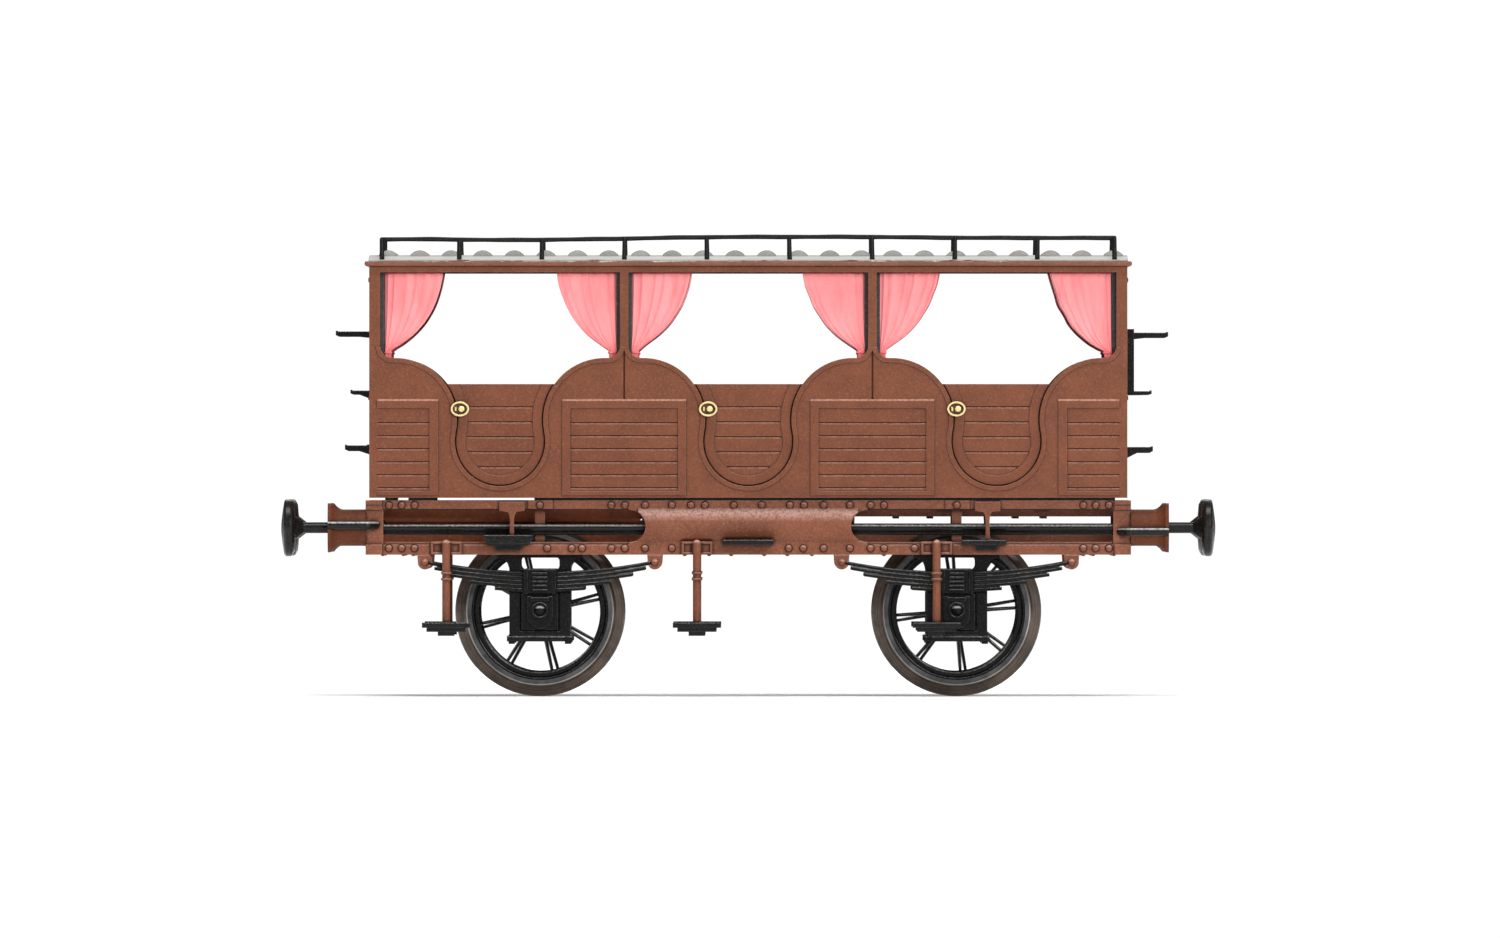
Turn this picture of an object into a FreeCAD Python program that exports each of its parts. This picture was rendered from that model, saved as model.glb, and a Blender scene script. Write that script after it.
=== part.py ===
import FreeCAD, Part
import math
import os

V = FreeCAD.Vector

# Four-wheeled, three-compartment railway coach of the 1830s, as an OO scale (1:76.2) model.
# X runs along the coach, Y across it (the side at -Y is the "near" side), Z is up.
# The origin is on the ground under the middle of the coach: Z = 0 is the bottom of the wheel flanges.
# All sizes are in millimetres.

# ---- body shell ----
BODY_HALF_LEN = 31.0
BODY_HALF_W = 13.0
BODY_Z0 = 16.25
SIDE_T = 0.9
SIDE_IN = BODY_HALF_W - SIDE_T
WINDOW_TOP = 34.7
SIDE_TOP = 35.2
BAY_PITCH = 20.3
BAYS = (-BAY_PITCH, 0.0, BAY_PITCH)
PILLARS = (-BAY_PITCH / 2, BAY_PITCH / 2)
END_T = 0.9
FLOOR_T = 0.75

# ---- outline of one bay: window above, swept sides, bulb-shaped doorway below ----
OPEN_HALF = 9.80
CORNER_R = 1.0
SWEEP_X = 8.57
SWEEP_Z = 22.65
BULB_Z = 20.9
BULB_R = 3.70
DOOR_TOP = 25.56
DOOR_GAP = 0.10
DOOR_RECESS = 0.22
DOOR_BAND = 0.86
BEAD_W = 0.38
BEAD_H = 0.07

# ---- board grooves ----
GROOVE_H = 0.095
GROOVE_D = 0.13
PANEL_STEP = 0.10
PANEL_TOP = 24.25
PANEL_LOW = 16.45
BOARD_TOP = 23.6
BOARD_LOW = 16.8
GROOVES_Z = [17.06 + 1.063 * k for k in range(6)]
DOOR_GROOVES_Z = [18.77 + 1.227 * k for k in range(5)]

# ---- interior ----
PARTITION_T = 1.25
END_LINING_T = 0.30
CURTAIN_T = 0.5
SEAT_DEPTH = 5.2
SEAT_Z = 21.5
CUSHION_TOP = 22.6
BACK_TOP = 26.4
BACK_T = 1.1

# ---- roof ----
CORNICE_HALF_LEN = 31.38
CORNICE_HALF_W = 13.4
CORNICE_TOP = 35.6
ROOF_HALF_LEN = 31.05
ROOF_HALF_W = 13.1
ROOF_RISE = 0.45
ROOF_EDGE_T = 0.12
RIB_COUNT = 24
RIB_PITCH = 2.584
FIRST_RIB_X = -29.5
RIB_HALF_W = 0.76
RIB_LEN = 13.4
RIB_H = 0.36
RAIL_Z = 37.56
RAIL_R = 0.11
RAIL_Y = 12.75
RAIL_END_X = 29.95
RAIL_POSTS = (3.38, 10.13, 16.88, 23.63, 29.95)
RAIL_END_POSTS = (-6.4, 0.0, 6.4)

# ---- underframe ----
FRAME_HALF_LEN = 31.3
FRAME_TOP = 16.05
FRAME_LOW = 11.6
UPPER_BEAM_Z = 15.26
LOWER_BEAM_Z = 12.64
BEARER_Z = 14.72
REBATE_IN = 9.75
REBATE_H = 0.21
SOLE_OUT = 12.4
SOLE_IN = 11.0
SLOT_IN = 8.4
SLOT_OUT = 29.85
ROD_Y = 11.7
ROD_Z = 13.8
ROD_R = 0.34
RIVET_R = 0.28
RIVET_SINK = 0.11
BULGE_R = 2.07
BULGE_Y = -10.83
BULGE_Z = 14.05

# ---- buffers ----
HOUSING_R = 1.48
HOUSING_MOUTH = 34.4
HOUSING_BORE = 1.12
SHANK_R = 0.44
SHANK_HOLE = 0.50
HEAD_SIDE = ((36.38, SHANK_R), (37.02, 0.95), (37.10, 1.90), (37.30, 2.25), (37.45, 2.33), (37.80, 2.33),
             (37.95, 2.20))
HEAD_FRONT = 38.2
PISTON_R = 1.04
PISTON_X = 33.3
PISTON_T = 0.4
SPRING_TURNS = 4
SIDE_ROD_R = 0.36

# ---- running gear ----
AXLE_X = 17.05
AXLE_Z = 6.95
WHEEL_BACK = 7.25
WHEEL_FACE = 10.05
FLANGE_R = 6.95
TREAD_R = 6.05
TYRE_IN = 5.60
RIM_IN = 4.92
HUB_R = 1.45
SPOKES = 8
SPOKE_PHASE = {("left", "near"): 11.6, ("left", "far"): 16.0, ("right", "near"): 3.5, ("right", "far"): 9.5}
AXLE_R = 1.0
JOURNAL_R = 0.5
BEARING_BORE = 0.56
BEARING_R = 0.8
GUARD_OUT = 11.9
GUARD_MID = 11.2
GUARD_IN = 10.6
SPRING_HALF = 9.4
SPRING_EYE_Z = 10.97
SPRING_SAG = 0.95
LEAF_T = 0.27
LEAF_PITCH = 0.33
LEAF_HALVES = (9.4, 8.65, 7.6, 5.8, 3.7)
SPRING_Y = 11.85
SPRING_W = 1.1

# ---- steps ----
LOWER_STEPS = (-24.7, -4.2, 15.4)
UPPER_STEPS = ((-19.63, 13.2), (19.27, 12.8))
IRON_OFFSET = 0.3
STEP_Z = 6.05


def box(x0, x1, y0, y1, z0, z1):
    """Block between two corners."""
    return Part.makeBox(x1 - x0, y1 - y0, z1 - z0, V(x0, y0, z0))


def rod(start, direction, radius, length):
    """Round bar."""
    return Part.makeCylinder(radius, length, start, direction)


def fused(shapes):
    """Join shapes into one solid with merged faces."""
    return shapes[0].multiFuse(shapes[1:]).removeSplitter()


def to_far(shape):
    """The same piece on the other side of the coach."""
    return shape.mirror(V(0, 0, 0), V(0, 1, 0))


def to_right(shape):
    """The same piece at the other end of the coach."""
    return shape.mirror(V(0, 0, 0), V(1, 0, 0))


def extrude_y(wire, y0, y1):
    """Solid from a closed outline in the XZ plane, between two Y positions."""
    face = Part.Face(wire)
    face.translate(V(0, y0, 0))
    return face.extrude(V(0, y1 - y0, 0))


def outline(points):
    """Closed straight-sided outline in the XZ plane."""
    corners = [V(x, 0, z) for x, z in points]
    return Part.makePolygon(corners + corners[:1])


def arc(p1, p2, p3):
    return Part.Arc(V(p1[0], 0, p1[1]), V(p2[0], 0, p2[1]), V(p3[0], 0, p3[1])).toShape()


def line(p1, p2):
    return Part.makeLine(V(p1[0], 0, p1[1]), V(p2[0], 0, p2[1]))


def on_circle(centre, radius, towards):
    """Point of a circle in the direction of another point."""
    dx = towards[0] - centre[0]
    dz = towards[1] - centre[1]
    length = math.hypot(dx, dz)
    return (centre[0] + radius * dx / length, centre[1] + radius * dz / length)


def between(centre, radius, p1, p2):
    """Point of a circle half way round from p1 to p2 (less than half a turn)."""
    return on_circle(centre, radius, ((p1[0] + p2[0]) / 2, (p1[1] + p2[1]) / 2))


def bay_outline(bay_x, grow, top):
    """Window and doorway outline of one bay, grown outwards by an even amount."""
    half = OPEN_HALF + grow
    bulb = (0.0, BULB_Z)
    sweep = (-SWEEP_X, SWEEP_Z)
    bulb_r = BULB_R + grow
    sweep_r = math.hypot(SWEEP_X, SWEEP_Z - BULB_Z) - BULB_R - grow
    corner_r = CORNER_R + grow
    corner_x = CORNER_R - OPEN_HALF
    rise = math.sqrt((CORNER_R + sweep_r + grow) ** 2 - (corner_x + SWEEP_X) ** 2)
    corner = (corner_x, SWEEP_Z + rise)
    p_top = (-half, top)
    p_side = (-half, corner[1])
    p_corner = on_circle(corner, corner_r, sweep)
    p_waist = on_circle(sweep, sweep_r, bulb)
    edges = [
        (p_side, between(corner, corner_r, p_side, p_corner), p_corner),
        (p_corner, between(sweep, sweep_r, p_corner, p_waist), p_waist),
    ]
    shapes = [line(p_top, p_side)]
    for p1, p2, p3 in edges:
        shapes.append(arc(p1, p2, p3))
    shapes.append(arc(p_waist, (0.0, BULB_Z - bulb_r), (-p_waist[0], p_waist[1])))
    for p1, p2, p3 in reversed(edges):
        shapes.append(arc((-p3[0], p3[1]), (-p2[0], p2[1]), (-p1[0], p1[1])))
    shapes.append(line((half, corner[1]), (half, top)))
    shapes.append(line((half, top), p_top))
    wire = Part.Wire(shapes)
    wire.translate(V(bay_x, 0, 0))
    return wire


def groove(x0, x1, z, y_face):
    """Cutter for a level V-groove in a face that looks towards -Y."""
    tri = Part.makePolygon([
        V(x0, y_face - 0.01, z - GROOVE_H),
        V(x0, y_face - 0.01, z + GROOVE_H),
        V(x0, y_face + GROOVE_D, z),
        V(x0, y_face - 0.01, z - GROOVE_H),
    ])
    return Part.Face(tri).extrude(V(x1 - x0, 0, 0))


def upright_groove(x, z0, z1, y_face):
    """Cutter for an upright V-groove in a face that looks towards -Y."""
    tri = Part.makePolygon([
        V(x - GROOVE_H, y_face - 0.01, z0),
        V(x + GROOVE_H, y_face - 0.01, z0),
        V(x, y_face + GROOVE_D, z0),
        V(x - GROOVE_H, y_face - 0.01, z0),
    ])
    return Part.Face(tri).extrude(V(0, 0, z1 - z0))


def panel_frame(x0, x1):
    """Raised frame round one set of boards, with a sloping top edge."""
    face = -BODY_HALF_W
    front = face - PANEL_STEP
    profile = Part.makePolygon([
        V(x0, face + 0.1, PANEL_LOW),
        V(x0, front, PANEL_LOW),
        V(x0, front, PANEL_TOP - 0.08),
        V(x0, face, PANEL_TOP + 0.08),
        V(x0, face + 0.1, PANEL_TOP + 0.08),
        V(x0, face + 0.1, PANEL_LOW),
    ])
    return Part.Face(profile).extrude(V(x1 - x0, 0, 0))


def board_cutters(x0, x1):
    """Cutters for the level boards inside a frame."""
    face = -BODY_HALF_W
    cutters = [box(x0, x1, face - 1, face, BOARD_LOW, BOARD_TOP)]
    for z in GROOVES_Z:
        cutters.append(groove(x0, x1, z, face))
    return cutters


def body_side():
    """Side panel: three windows running down into the doorways, pillars, boards and edge beads."""
    face = -BODY_HALF_W
    side = box(-BODY_HALF_LEN, BODY_HALF_LEN, face, -SIDE_IN, BODY_Z0, SIDE_TOP)
    openings = [extrude_y(bay_outline(x, 0.0, WINDOW_TOP), face - 1, 0) for x in BAYS]
    below_sill = box(-BODY_HALF_LEN, BODY_HALF_LEN, face - 1, 0, BODY_Z0, 28.6)
    beads = []
    for x in BAYS:
        grown = extrude_y(bay_outline(x, BEAD_W, WINDOW_TOP), face - BEAD_H, face + 0.1)
        beads.append(grown.common(below_sill))
    frames = [panel_frame(x - 5.07, x + 5.07) for x in PILLARS]
    frames += [panel_frame(-30.35, -25.35), panel_frame(25.35, 30.35)]
    side = side.multiFuse(beads + frames)
    cutters = list(openings)
    for x in PILLARS:
        cutters += board_cutters(x - 4.4, x + 4.4)
        cutters.append(upright_groove(x, PANEL_TOP - 0.08, 28.2, face))
    cutters += board_cutters(-30.35, -26.08)
    cutters += board_cutters(26.08, 30.35)
    return side.cut(cutters).removeSplitter()


def doors():
    """Three door panels set back in the doorways, each with a raised band, boards and a rear flange."""
    face = DOOR_RECESS - BODY_HALF_W
    below_top = box(-BODY_HALF_LEN, BODY_HALF_LEN, -BODY_HALF_W - 1, 0, BODY_Z0 + 0.3, DOOR_TOP)
    result = []
    for x in BAYS:
        panel = extrude_y(bay_outline(x, -DOOR_GAP, WINDOW_TOP), face, -SIDE_IN)
        flange = extrude_y(bay_outline(x, 0.5, WINDOW_TOP), -SIDE_IN, 0.3 - SIDE_IN)
        inner = extrude_y(bay_outline(x, -DOOR_BAND, WINDOW_TOP), face - 1, face + 0.09)
        boards = extrude_y(bay_outline(x, -DOOR_BAND - 0.1, WINDOW_TOP), face - 1, -SIDE_IN)
        cutters = [inner]
        for z in DOOR_GROOVES_Z:
            cutters.append(groove(x - 4, x + 4, z, face + 0.09).common(boards))
        door = panel.fuse(flange).common(below_top).cut(cutters)
        result.append(door.removeSplitter())
    return Part.Compound(result)


def oval_prism(half_x, half_z, y0, y1):
    """Flat oval block about the Y axis."""
    ellipse = Part.Ellipse(V(half_x, 0, 0), V(0, 0, half_z), V(0, 0, 0))
    return extrude_y(Part.Wire(ellipse.toShape()), y0, y1)


def door_handle(x):
    """Oval latch ring with a turning knob and a small stop pad inside it."""
    face = -BODY_HALF_W - BEAD_H
    plate = oval_prism(0.75, 0.615, face - 0.05, face)
    rim = oval_prism(0.75, 0.615, face - 0.36, face - 0.05)
    rim = rim.cut(oval_prism(0.60, 0.465, face - 0.4, face))
    knob = rod(V(0.13, face - 0.05, 0), V(0, -1, 0), 0.25, 0.35)
    knob = knob.makeFillet(0.08, [e for e in knob.Edges if abs(e.CenterOfMass.y - face + 0.4) < 1e-6])
    pad = box(-0.42, -0.27, face - 0.28, face - 0.05, -0.17, 0.17)
    latch = fused([plate, rim, knob, pad])
    latch.translate(V(x - 3.28, 0, 23.52))
    return latch


def door_handles():
    near = [door_handle(x) for x in BAYS]
    return Part.Compound(near + [to_far(h) for h in near])


def body_end():
    """Left end panel: boarded below, plain above with a middle bead, between the two sides."""
    x_out = -BODY_HALF_LEN
    panel = box(x_out, x_out + END_T, -SIDE_IN, SIDE_IN, BODY_Z0, SIDE_TOP)
    bead = box(x_out - 0.08, x_out, -SIDE_IN, SIDE_IN, PANEL_TOP, PANEL_TOP + 0.35)
    top_bead = box(x_out - 0.08, x_out, -SIDE_IN, SIDE_IN, 33.9, 34.25)
    shape = fused([panel, bead, top_bead])
    cutters = []
    for z in GROOVES_Z:
        tri = Part.makePolygon([
            V(x_out - 0.01, -SIDE_IN + 0.6, z - GROOVE_H),
            V(x_out - 0.01, -SIDE_IN + 0.6, z + GROOVE_H),
            V(x_out + GROOVE_D, -SIDE_IN + 0.6, z),
            V(x_out - 0.01, -SIDE_IN + 0.6, z - GROOVE_H),
        ])
        cutters.append(Part.Face(tri).extrude(V(0, 2 * SIDE_IN - 1.2, 0)))
    return shape.cut(cutters)


def floor_panel():
    inner = SIDE_IN - 0.3
    end = BODY_HALF_LEN - END_T
    floor = box(-end, end, -inner, inner, BODY_Z0, BODY_Z0 + FLOOR_T)
    tongues = [box(-end, end, -SIDE_IN, -inner, BODY_Z0, BODY_Z0 + 0.3)]
    tongues.append(to_far(tongues[0]))
    return fused([floor] + tongues)


def partitions():
    """Two full-height partitions behind the pillars and a lining on each end panel."""
    inner = SIDE_IN - 0.3
    z0 = BODY_Z0 + FLOOR_T
    walls = []
    for x in PILLARS:
        wall = box(x - PARTITION_T / 2, x + PARTITION_T / 2, -inner, inner, z0, SIDE_TOP)
        posts = box(x - PARTITION_T / 2, x + PARTITION_T / 2, -SIDE_IN, -inner, DOOR_TOP, SIDE_TOP)
        walls.append(fused([wall, posts, to_far(posts)]))
    end = BODY_HALF_LEN - END_T
    lining = box(-end, -end + END_LINING_T, -inner, inner, z0, SIDE_TOP)
    posts = box(-end, -end + END_LINING_T, -SIDE_IN, -inner, DOOR_TOP, SIDE_TOP)
    lining = fused([lining, posts, to_far(posts)])
    walls += [lining, to_right(lining)]
    return Part.Compound(walls)


def wall_reach(bay_x, direction):
    """Distance from the middle of a bay to the wall at one end of its compartment."""
    at_coach_end = bay_x * direction > 0
    if at_coach_end:
        return BODY_HALF_LEN - END_T - END_LINING_T - BAY_PITCH
    return BAY_PITCH / 2 - PARTITION_T / 2


def bench(x_wall, direction):
    """Padded bench against a wall at x_wall, facing along direction (+1 or -1)."""
    inner = SIDE_IN - 0.35
    z0 = BODY_Z0 + FLOOR_T
    far_x = x_wall + direction * SEAT_DEPTH
    x0 = min(x_wall, far_x)
    x1 = max(x_wall, far_x)
    base = box(x0, x1, -inner, inner, z0, SEAT_Z)
    cushion = box(x0, x1, -inner, inner, SEAT_Z, CUSHION_TOP)
    front = far_x
    edges = [e for e in cushion.Edges if abs(e.CenterOfMass.x - front) < 1e-6]
    cushion = cushion.makeFillet(0.35, [e for e in edges if e.CenterOfMass.z > SEAT_Z + 0.1])
    seat = base.fuse(cushion).removeSplitter()
    back_x = x_wall + direction * BACK_T
    back = box(min(x_wall, back_x), max(x_wall, back_x), -inner, inner, CUSHION_TOP, BACK_TOP)
    edges = [e for e in back.Edges if abs(e.CenterOfMass.x - back_x) < 1e-6]
    back = back.makeFillet(0.3, [e for e in edges if e.CenterOfMass.z > CUSHION_TOP + 0.1])
    return [seat, back]


def bench_seats():
    """Two benches in each compartment, facing each other."""
    solids = []
    for x in BAYS:
        solids += bench(x - wall_reach(x, -1), 1)
        solids += bench(x + wall_reach(x, 1), -1)
    return Part.Compound(solids)


def curtain(bay_x, direction):
    """Tied-back curtain beside one edge of a window: wide at the head, narrow at the sill."""
    outer = wall_reach(bay_x, direction) - 0.03
    edge = [(-4.55, 34.55), (-4.82, 32.84), (-5.81, 30.8), (-7.28, 29.3), (-8.70, 28.3)]
    curve = Part.BSplineCurve()
    curve.interpolate([V(x, 0, z) for x, z in edge])
    corners = [edge[-1], (-outer, 28.0), (-outer, 35.1), (-4.55, 35.1), edge[0]]
    shapes = [curve.toShape()]
    shapes += [line(corners[k], corners[k + 1]) for k in range(4)]
    cloth = extrude_y(Part.Wire(shapes), -SIDE_IN, CURTAIN_T - SIDE_IN)
    if direction > 0:
        cloth = to_right(cloth)
    cloth.translate(V(bay_x, 0, 0))
    return cloth


def curtains():
    return Part.Compound([curtain(x, d) for x in BAYS for d in (-1, 1)])


def roof_cornice():
    """Rounded moulding round the top of the body."""
    ring = box(-CORNICE_HALF_LEN, CORNICE_HALF_LEN, -CORNICE_HALF_W, CORNICE_HALF_W, SIDE_TOP, CORNICE_TOP)
    outer = []
    for edge in ring.Edges:
        middle = edge.CenterOfMass
        at_side = abs(abs(middle.y) - CORNICE_HALF_W) < 1e-6
        at_end = abs(abs(middle.x) - CORNICE_HALF_LEN) < 1e-6
        if at_side or at_end:
            outer.append(edge)
    ring = ring.makeFillet(0.17, outer)
    hole = box(-30.1, 30.1, -12.1, 12.1, SIDE_TOP - 1, CORNICE_TOP + 1)
    return ring.cut(hole)


def arched_slab():
    """Solid under the arched roof surface, down to the cornice top."""
    edge_z = CORNICE_TOP + ROOF_EDGE_T
    radius = (ROOF_HALF_W ** 2 + ROOF_RISE ** 2) / (2 * ROOF_RISE)
    centre_z = edge_z + ROOF_RISE - radius
    end = ROOF_HALF_LEN
    slab = rod(V(-end, 0, centre_z), V(1, 0, 0), radius, 2 * end)
    return slab.common(box(-end, end, -ROOF_HALF_W, ROOF_HALF_W, CORNICE_TOP, CORNICE_TOP + 3))


def roof_panel():
    """Slightly arched roof with rounded ribs across the crown and a plug that drops inside the cornice."""
    skin = arched_slab()
    plug = box(-30.05, 30.05, -12.05, 12.05, SIDE_TOP, CORNICE_TOP)
    ribs = []
    crown = roof_z(0.0)
    foot = roof_z(RIB_LEN / 2) - 0.1
    for k in range(RIB_COUNT):
        x = FIRST_RIB_X + k * RIB_PITCH
        left = x - RIB_HALF_W
        right = x + RIB_HALF_W
        profile = Part.Wire([
            line((left, foot), (right, foot)),
            line((right, foot), (right, crown)),
            arc((right, crown), (x, crown + RIB_H), (left, crown)),
            line((left, crown), (left, foot)),
        ])
        ribs.append(extrude_y(profile, -RIB_LEN / 2, RIB_LEN / 2))
    return skin.fuse(plug).multiFuse(ribs).removeSplitter()


def roof_z(y):
    """Height of the roof surface at a distance from the middle."""
    radius = (ROOF_HALF_W ** 2 + ROOF_RISE ** 2) / (2 * ROOF_RISE)
    return CORNICE_TOP + ROOF_EDGE_T + ROOF_RISE - radius + math.sqrt(radius ** 2 - y ** 2)


def rail_post(x, y):
    """Slightly tapered post from the roof up to the rail."""
    z = roof_z(y)
    return Part.makeCone(0.205, 0.175, RAIL_Z - z, V(x, y, z), V(0, 0, 1))


def roof_rail():
    """Luggage rail round the roof: a fence along each side and one across each end."""
    end = RAIL_END_X + RAIL_R
    side = [rod(V(-end, -RAIL_Y, RAIL_Z), V(1, 0, 0), RAIL_R, 2 * end)]
    for x in RAIL_POSTS:
        side += [rail_post(x, -RAIL_Y), rail_post(-x, -RAIL_Y)]
    roof = arched_slab()
    side = fused(side).cut(roof)
    inner = RAIL_Y - 0.17
    across = [rod(V(-RAIL_END_X, -inner, RAIL_Z), V(0, 1, 0), RAIL_R, 2 * inner)]
    across += [rail_post(-RAIL_END_X, y) for y in RAIL_END_POSTS]
    across = fused(across)
    neighbours = [side, to_far(side), roof_panel()]
    return Part.Compound([side, to_far(side), across.cut(neighbours), to_right(across).cut(neighbours)])


def end_tread(x_wall, x_tip, z_top, thick, half_w, drop):
    """Step tread standing out from an end panel, with a bracket below its root."""
    direction = 1 if x_tip > x_wall else -1
    root = x_wall + direction * 0.9
    tread = outline([
        (x_wall, z_top),
        (x_tip, z_top),
        (x_tip, z_top - thick * 0.7),
        (x_tip - direction * 0.3, z_top - thick),
        (root, z_top - thick),
        (x_wall, z_top - thick - drop),
    ])
    tread = extrude_y(tread, -half_w, half_w)
    lip = box(min(x_tip, x_tip - direction * 0.15), max(x_tip, x_tip - direction * 0.15),
              -half_w, half_w, z_top - 0.02, z_top + 0.06)
    return fused([tread, lip])


def end_steps_left():
    """Three black steps up the left end."""
    wall = -BODY_HALF_LEN
    treads = [
        end_tread(wall, -33.85, 29.9, 0.45, 2.1, 0.1),
        end_tread(wall, -32.65, 25.05, 0.35, 1.9, 0.35),
        end_tread(wall, -33.1, 20.55, 0.48, 1.9, 0.3),
    ]
    base = box(wall - 0.3, wall, -2.4, 2.4, 20.3, 20.62)
    treads[2] = fused([treads[2], base])
    panel = body_end()
    return Part.Compound([tread.cut(panel) for tread in treads])


def end_steps_right():
    """Three black steps up the right end, the upper two on a backing plate."""
    wall = BODY_HALF_LEN
    plate = box(wall, wall + 0.65, -2.3, 2.3, 24.65, 30.1)
    plate = plate.cut(box(wall + 0.45, wall + 1, -1.8, 1.8, 25.3, 29.0))
    upper = end_tread(wall + 0.6, 34.45, 29.8, 0.45, 2.1, 0.1)
    middle = end_tread(wall + 0.6, 33.1, 25.0, 0.33, 1.9, 0.02)
    lower = end_tread(wall, 33.2, 20.42, 0.5, 1.9, 0.45)
    panel = to_right(body_end())
    return Part.Compound([fused([plate, upper, middle]).cut(panel), lower])


def rivet(x, z, y_face):
    """Round head standing out of a face that looks towards -Y."""
    return Part.makeSphere(RIVET_R, V(x, y_face + RIVET_SINK, z))


def solebar_bulge():
    """Round bar whose outer part makes the bulged middle of a side frame."""
    return rod(V(-9, BULGE_Y, BULGE_Z), V(1, 0, 0), BULGE_R, 18)


def solebar():
    """Side frame: two beams joined by end blocks and a bulged middle plate, with rivets."""
    upper_low = UPPER_BEAM_Z
    lower_top = LOWER_BEAM_Z
    face = -SOLE_OUT
    frame = box(-FRAME_HALF_LEN, FRAME_HALF_LEN, face, -SOLE_IN, FRAME_LOW, FRAME_TOP)
    frame = frame.fuse(solebar_bulge().common(box(-9, 9, -15, -SOLE_IN - 0.2, 12.1, 15.95)))
    mid_z = (upper_low + lower_top) / 2
    slot_r = (upper_low - lower_top) / 2
    end_x = SLOT_IN + slot_r
    slot = Part.Wire([
        line((SLOT_OUT, lower_top), (SLOT_OUT, upper_low)),
        line((SLOT_OUT, upper_low), (end_x, upper_low)),
        arc((end_x, upper_low), (SLOT_IN, mid_z), (end_x, lower_top)),
        line((end_x, lower_top), (SLOT_OUT, lower_top)),
    ])
    slot = extrude_y(slot, face - 1, 0)
    corner = [e for e in slot.Edges if abs(e.CenterOfMass.x - SLOT_OUT) < 1e-6 and e.Length > 5]
    slot = slot.makeFillet(0.3, corner)
    rebate = box(REBATE_IN, SLOT_OUT, face - 1, face + 0.2, lower_top - REBATE_H, upper_low + 0.1)
    frame = frame.cut([slot, to_right(slot), rebate, to_right(rebate)])
    adds = []
    for side in (-1, 1):
        x0 = side * FRAME_HALF_LEN
        x1 = side * (FRAME_HALF_LEN - 1.35)
        lo = min(x0, x1)
        hi = max(x0, x1)
        adds.append(box(lo, hi, face - 0.14, face, upper_low + 0.02, FRAME_TOP - 0.42))
        adds.append(box(lo, hi, face - 0.2, face, FRAME_TOP - 0.36, FRAME_TOP))
        adds.append(box(lo, hi, face - 0.16, face, FRAME_LOW, lower_top - 0.2))
        axle_x = side * AXLE_X
        adds.append(box(axle_x - 0.4, axle_x + 0.4, -SOLE_IN - 0.2, -SOLE_IN, lower_top, upper_low))
        adds.append(box(axle_x - 0.95, axle_x + 1.05, face - 0.12, face, upper_low + 0.1, FRAME_TOP))
    for x in UPPER_RIVETS:
        on_pad = abs(abs(x) - AXLE_X) < 0.5
        adds.append(rivet(x, 15.65, face - (0.12 if on_pad else 0.0)))
    for x in LOWER_RIVETS:
        adds.append(rivet(x, 12.12, face))
    for x in UNDER_RIVETS:
        adds.append(Part.makeSphere(0.2, V(x, face + 0.45, FRAME_LOW + 0.07)))
    return frame.multiFuse(adds).removeSplitter()


UPPER_RIVETS = (-29.4, -28.35, -27.3, -17.05, -11.2, -10.1, -8.45, -6.25, -4.7, -3.55, -1.2, 1.1,
                3.4, 4.55, 6.15, 8.3, 10.0, 11.1, 17.05, 27.4, 28.4, 29.5)
LOWER_RIVETS = (-29.4, -28.35, -27.3, -16.45, -14.45, -13.6, -11.2, -10.1, -8.45, -6.25,
                3.3, 4.5, 6.15, 8.3, 10.0, 11.1, 13.6, 27.4, 28.4, 29.5)
UNDER_RIVETS = (-29.9, -28.2, -27.4, -5.2, -3.2, -1.4, 1.3, 3.2, 5.2, 11.1, 27.4, 28.2, 29.9)
BEARER_BOLTS = (12.1, 14.9, 21.9, 24.2)


def headstock():
    """Left end beam across the frame, with a slot for the coupling bar."""
    beam = box(-FRAME_HALF_LEN, -FRAME_HALF_LEN + 1.1, -SOLE_IN, SOLE_IN, FRAME_LOW, FRAME_TOP)
    hole = box(-FRAME_HALF_LEN - 1, -FRAME_HALF_LEN + 2, -1.25, 1.25, 13.35, 14.25)
    bolts = []
    for y in (-8.6, -4.6, 4.6, 8.6):
        for z in (12.5, 15.1):
            head = Part.makeSphere(RIVET_R, V(-FRAME_HALF_LEN + RIVET_SINK, y, z))
            bolts.append(head)
    return beam.cut(hole).multiFuse(bolts).removeSplitter()


def cross_members():
    """Four beams across the frame, the spine for the coupling bars and the bearers of the right half."""
    beams = []
    for x in (-8.0, 8.0):
        beams.append(box(x - 0.7, x + 0.7, -SOLE_IN, SOLE_IN, 14.3, FRAME_TOP))
    for x in (16.0, 24.0):
        beams.append(box(x - 0.6, x + 0.6, -SOLE_IN, SOLE_IN, FRAME_TOP - 0.8, FRAME_TOP))
    end = FRAME_HALF_LEN - 1.1
    spine = box(-end, end, -2.6, 2.6, 12.75, 13.3)
    webs = [box(-8.7, -7.3, -2.6, 2.6, 13.3, 14.3), box(7.3, 8.7, -6.9, 6.9, 12.3, 14.3)]
    bearers = []
    for y in (-9.5, 8.3):
        bearers.append(box(8.7, end, y, y + 1.2, BEARER_Z, FRAME_TOP))
        for x in BEARER_BOLTS:
            bearers.append(rod(V(x, y + 0.6, BEARER_Z - 0.17), V(0, 0, 1), 0.25, 0.3))
    rails = [box(8.7, end, y, y + 1.6, 12.3, 13.46) for y in (-6.9, 5.3)]
    return fused(beams + [spine] + webs + bearers + rails)


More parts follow.
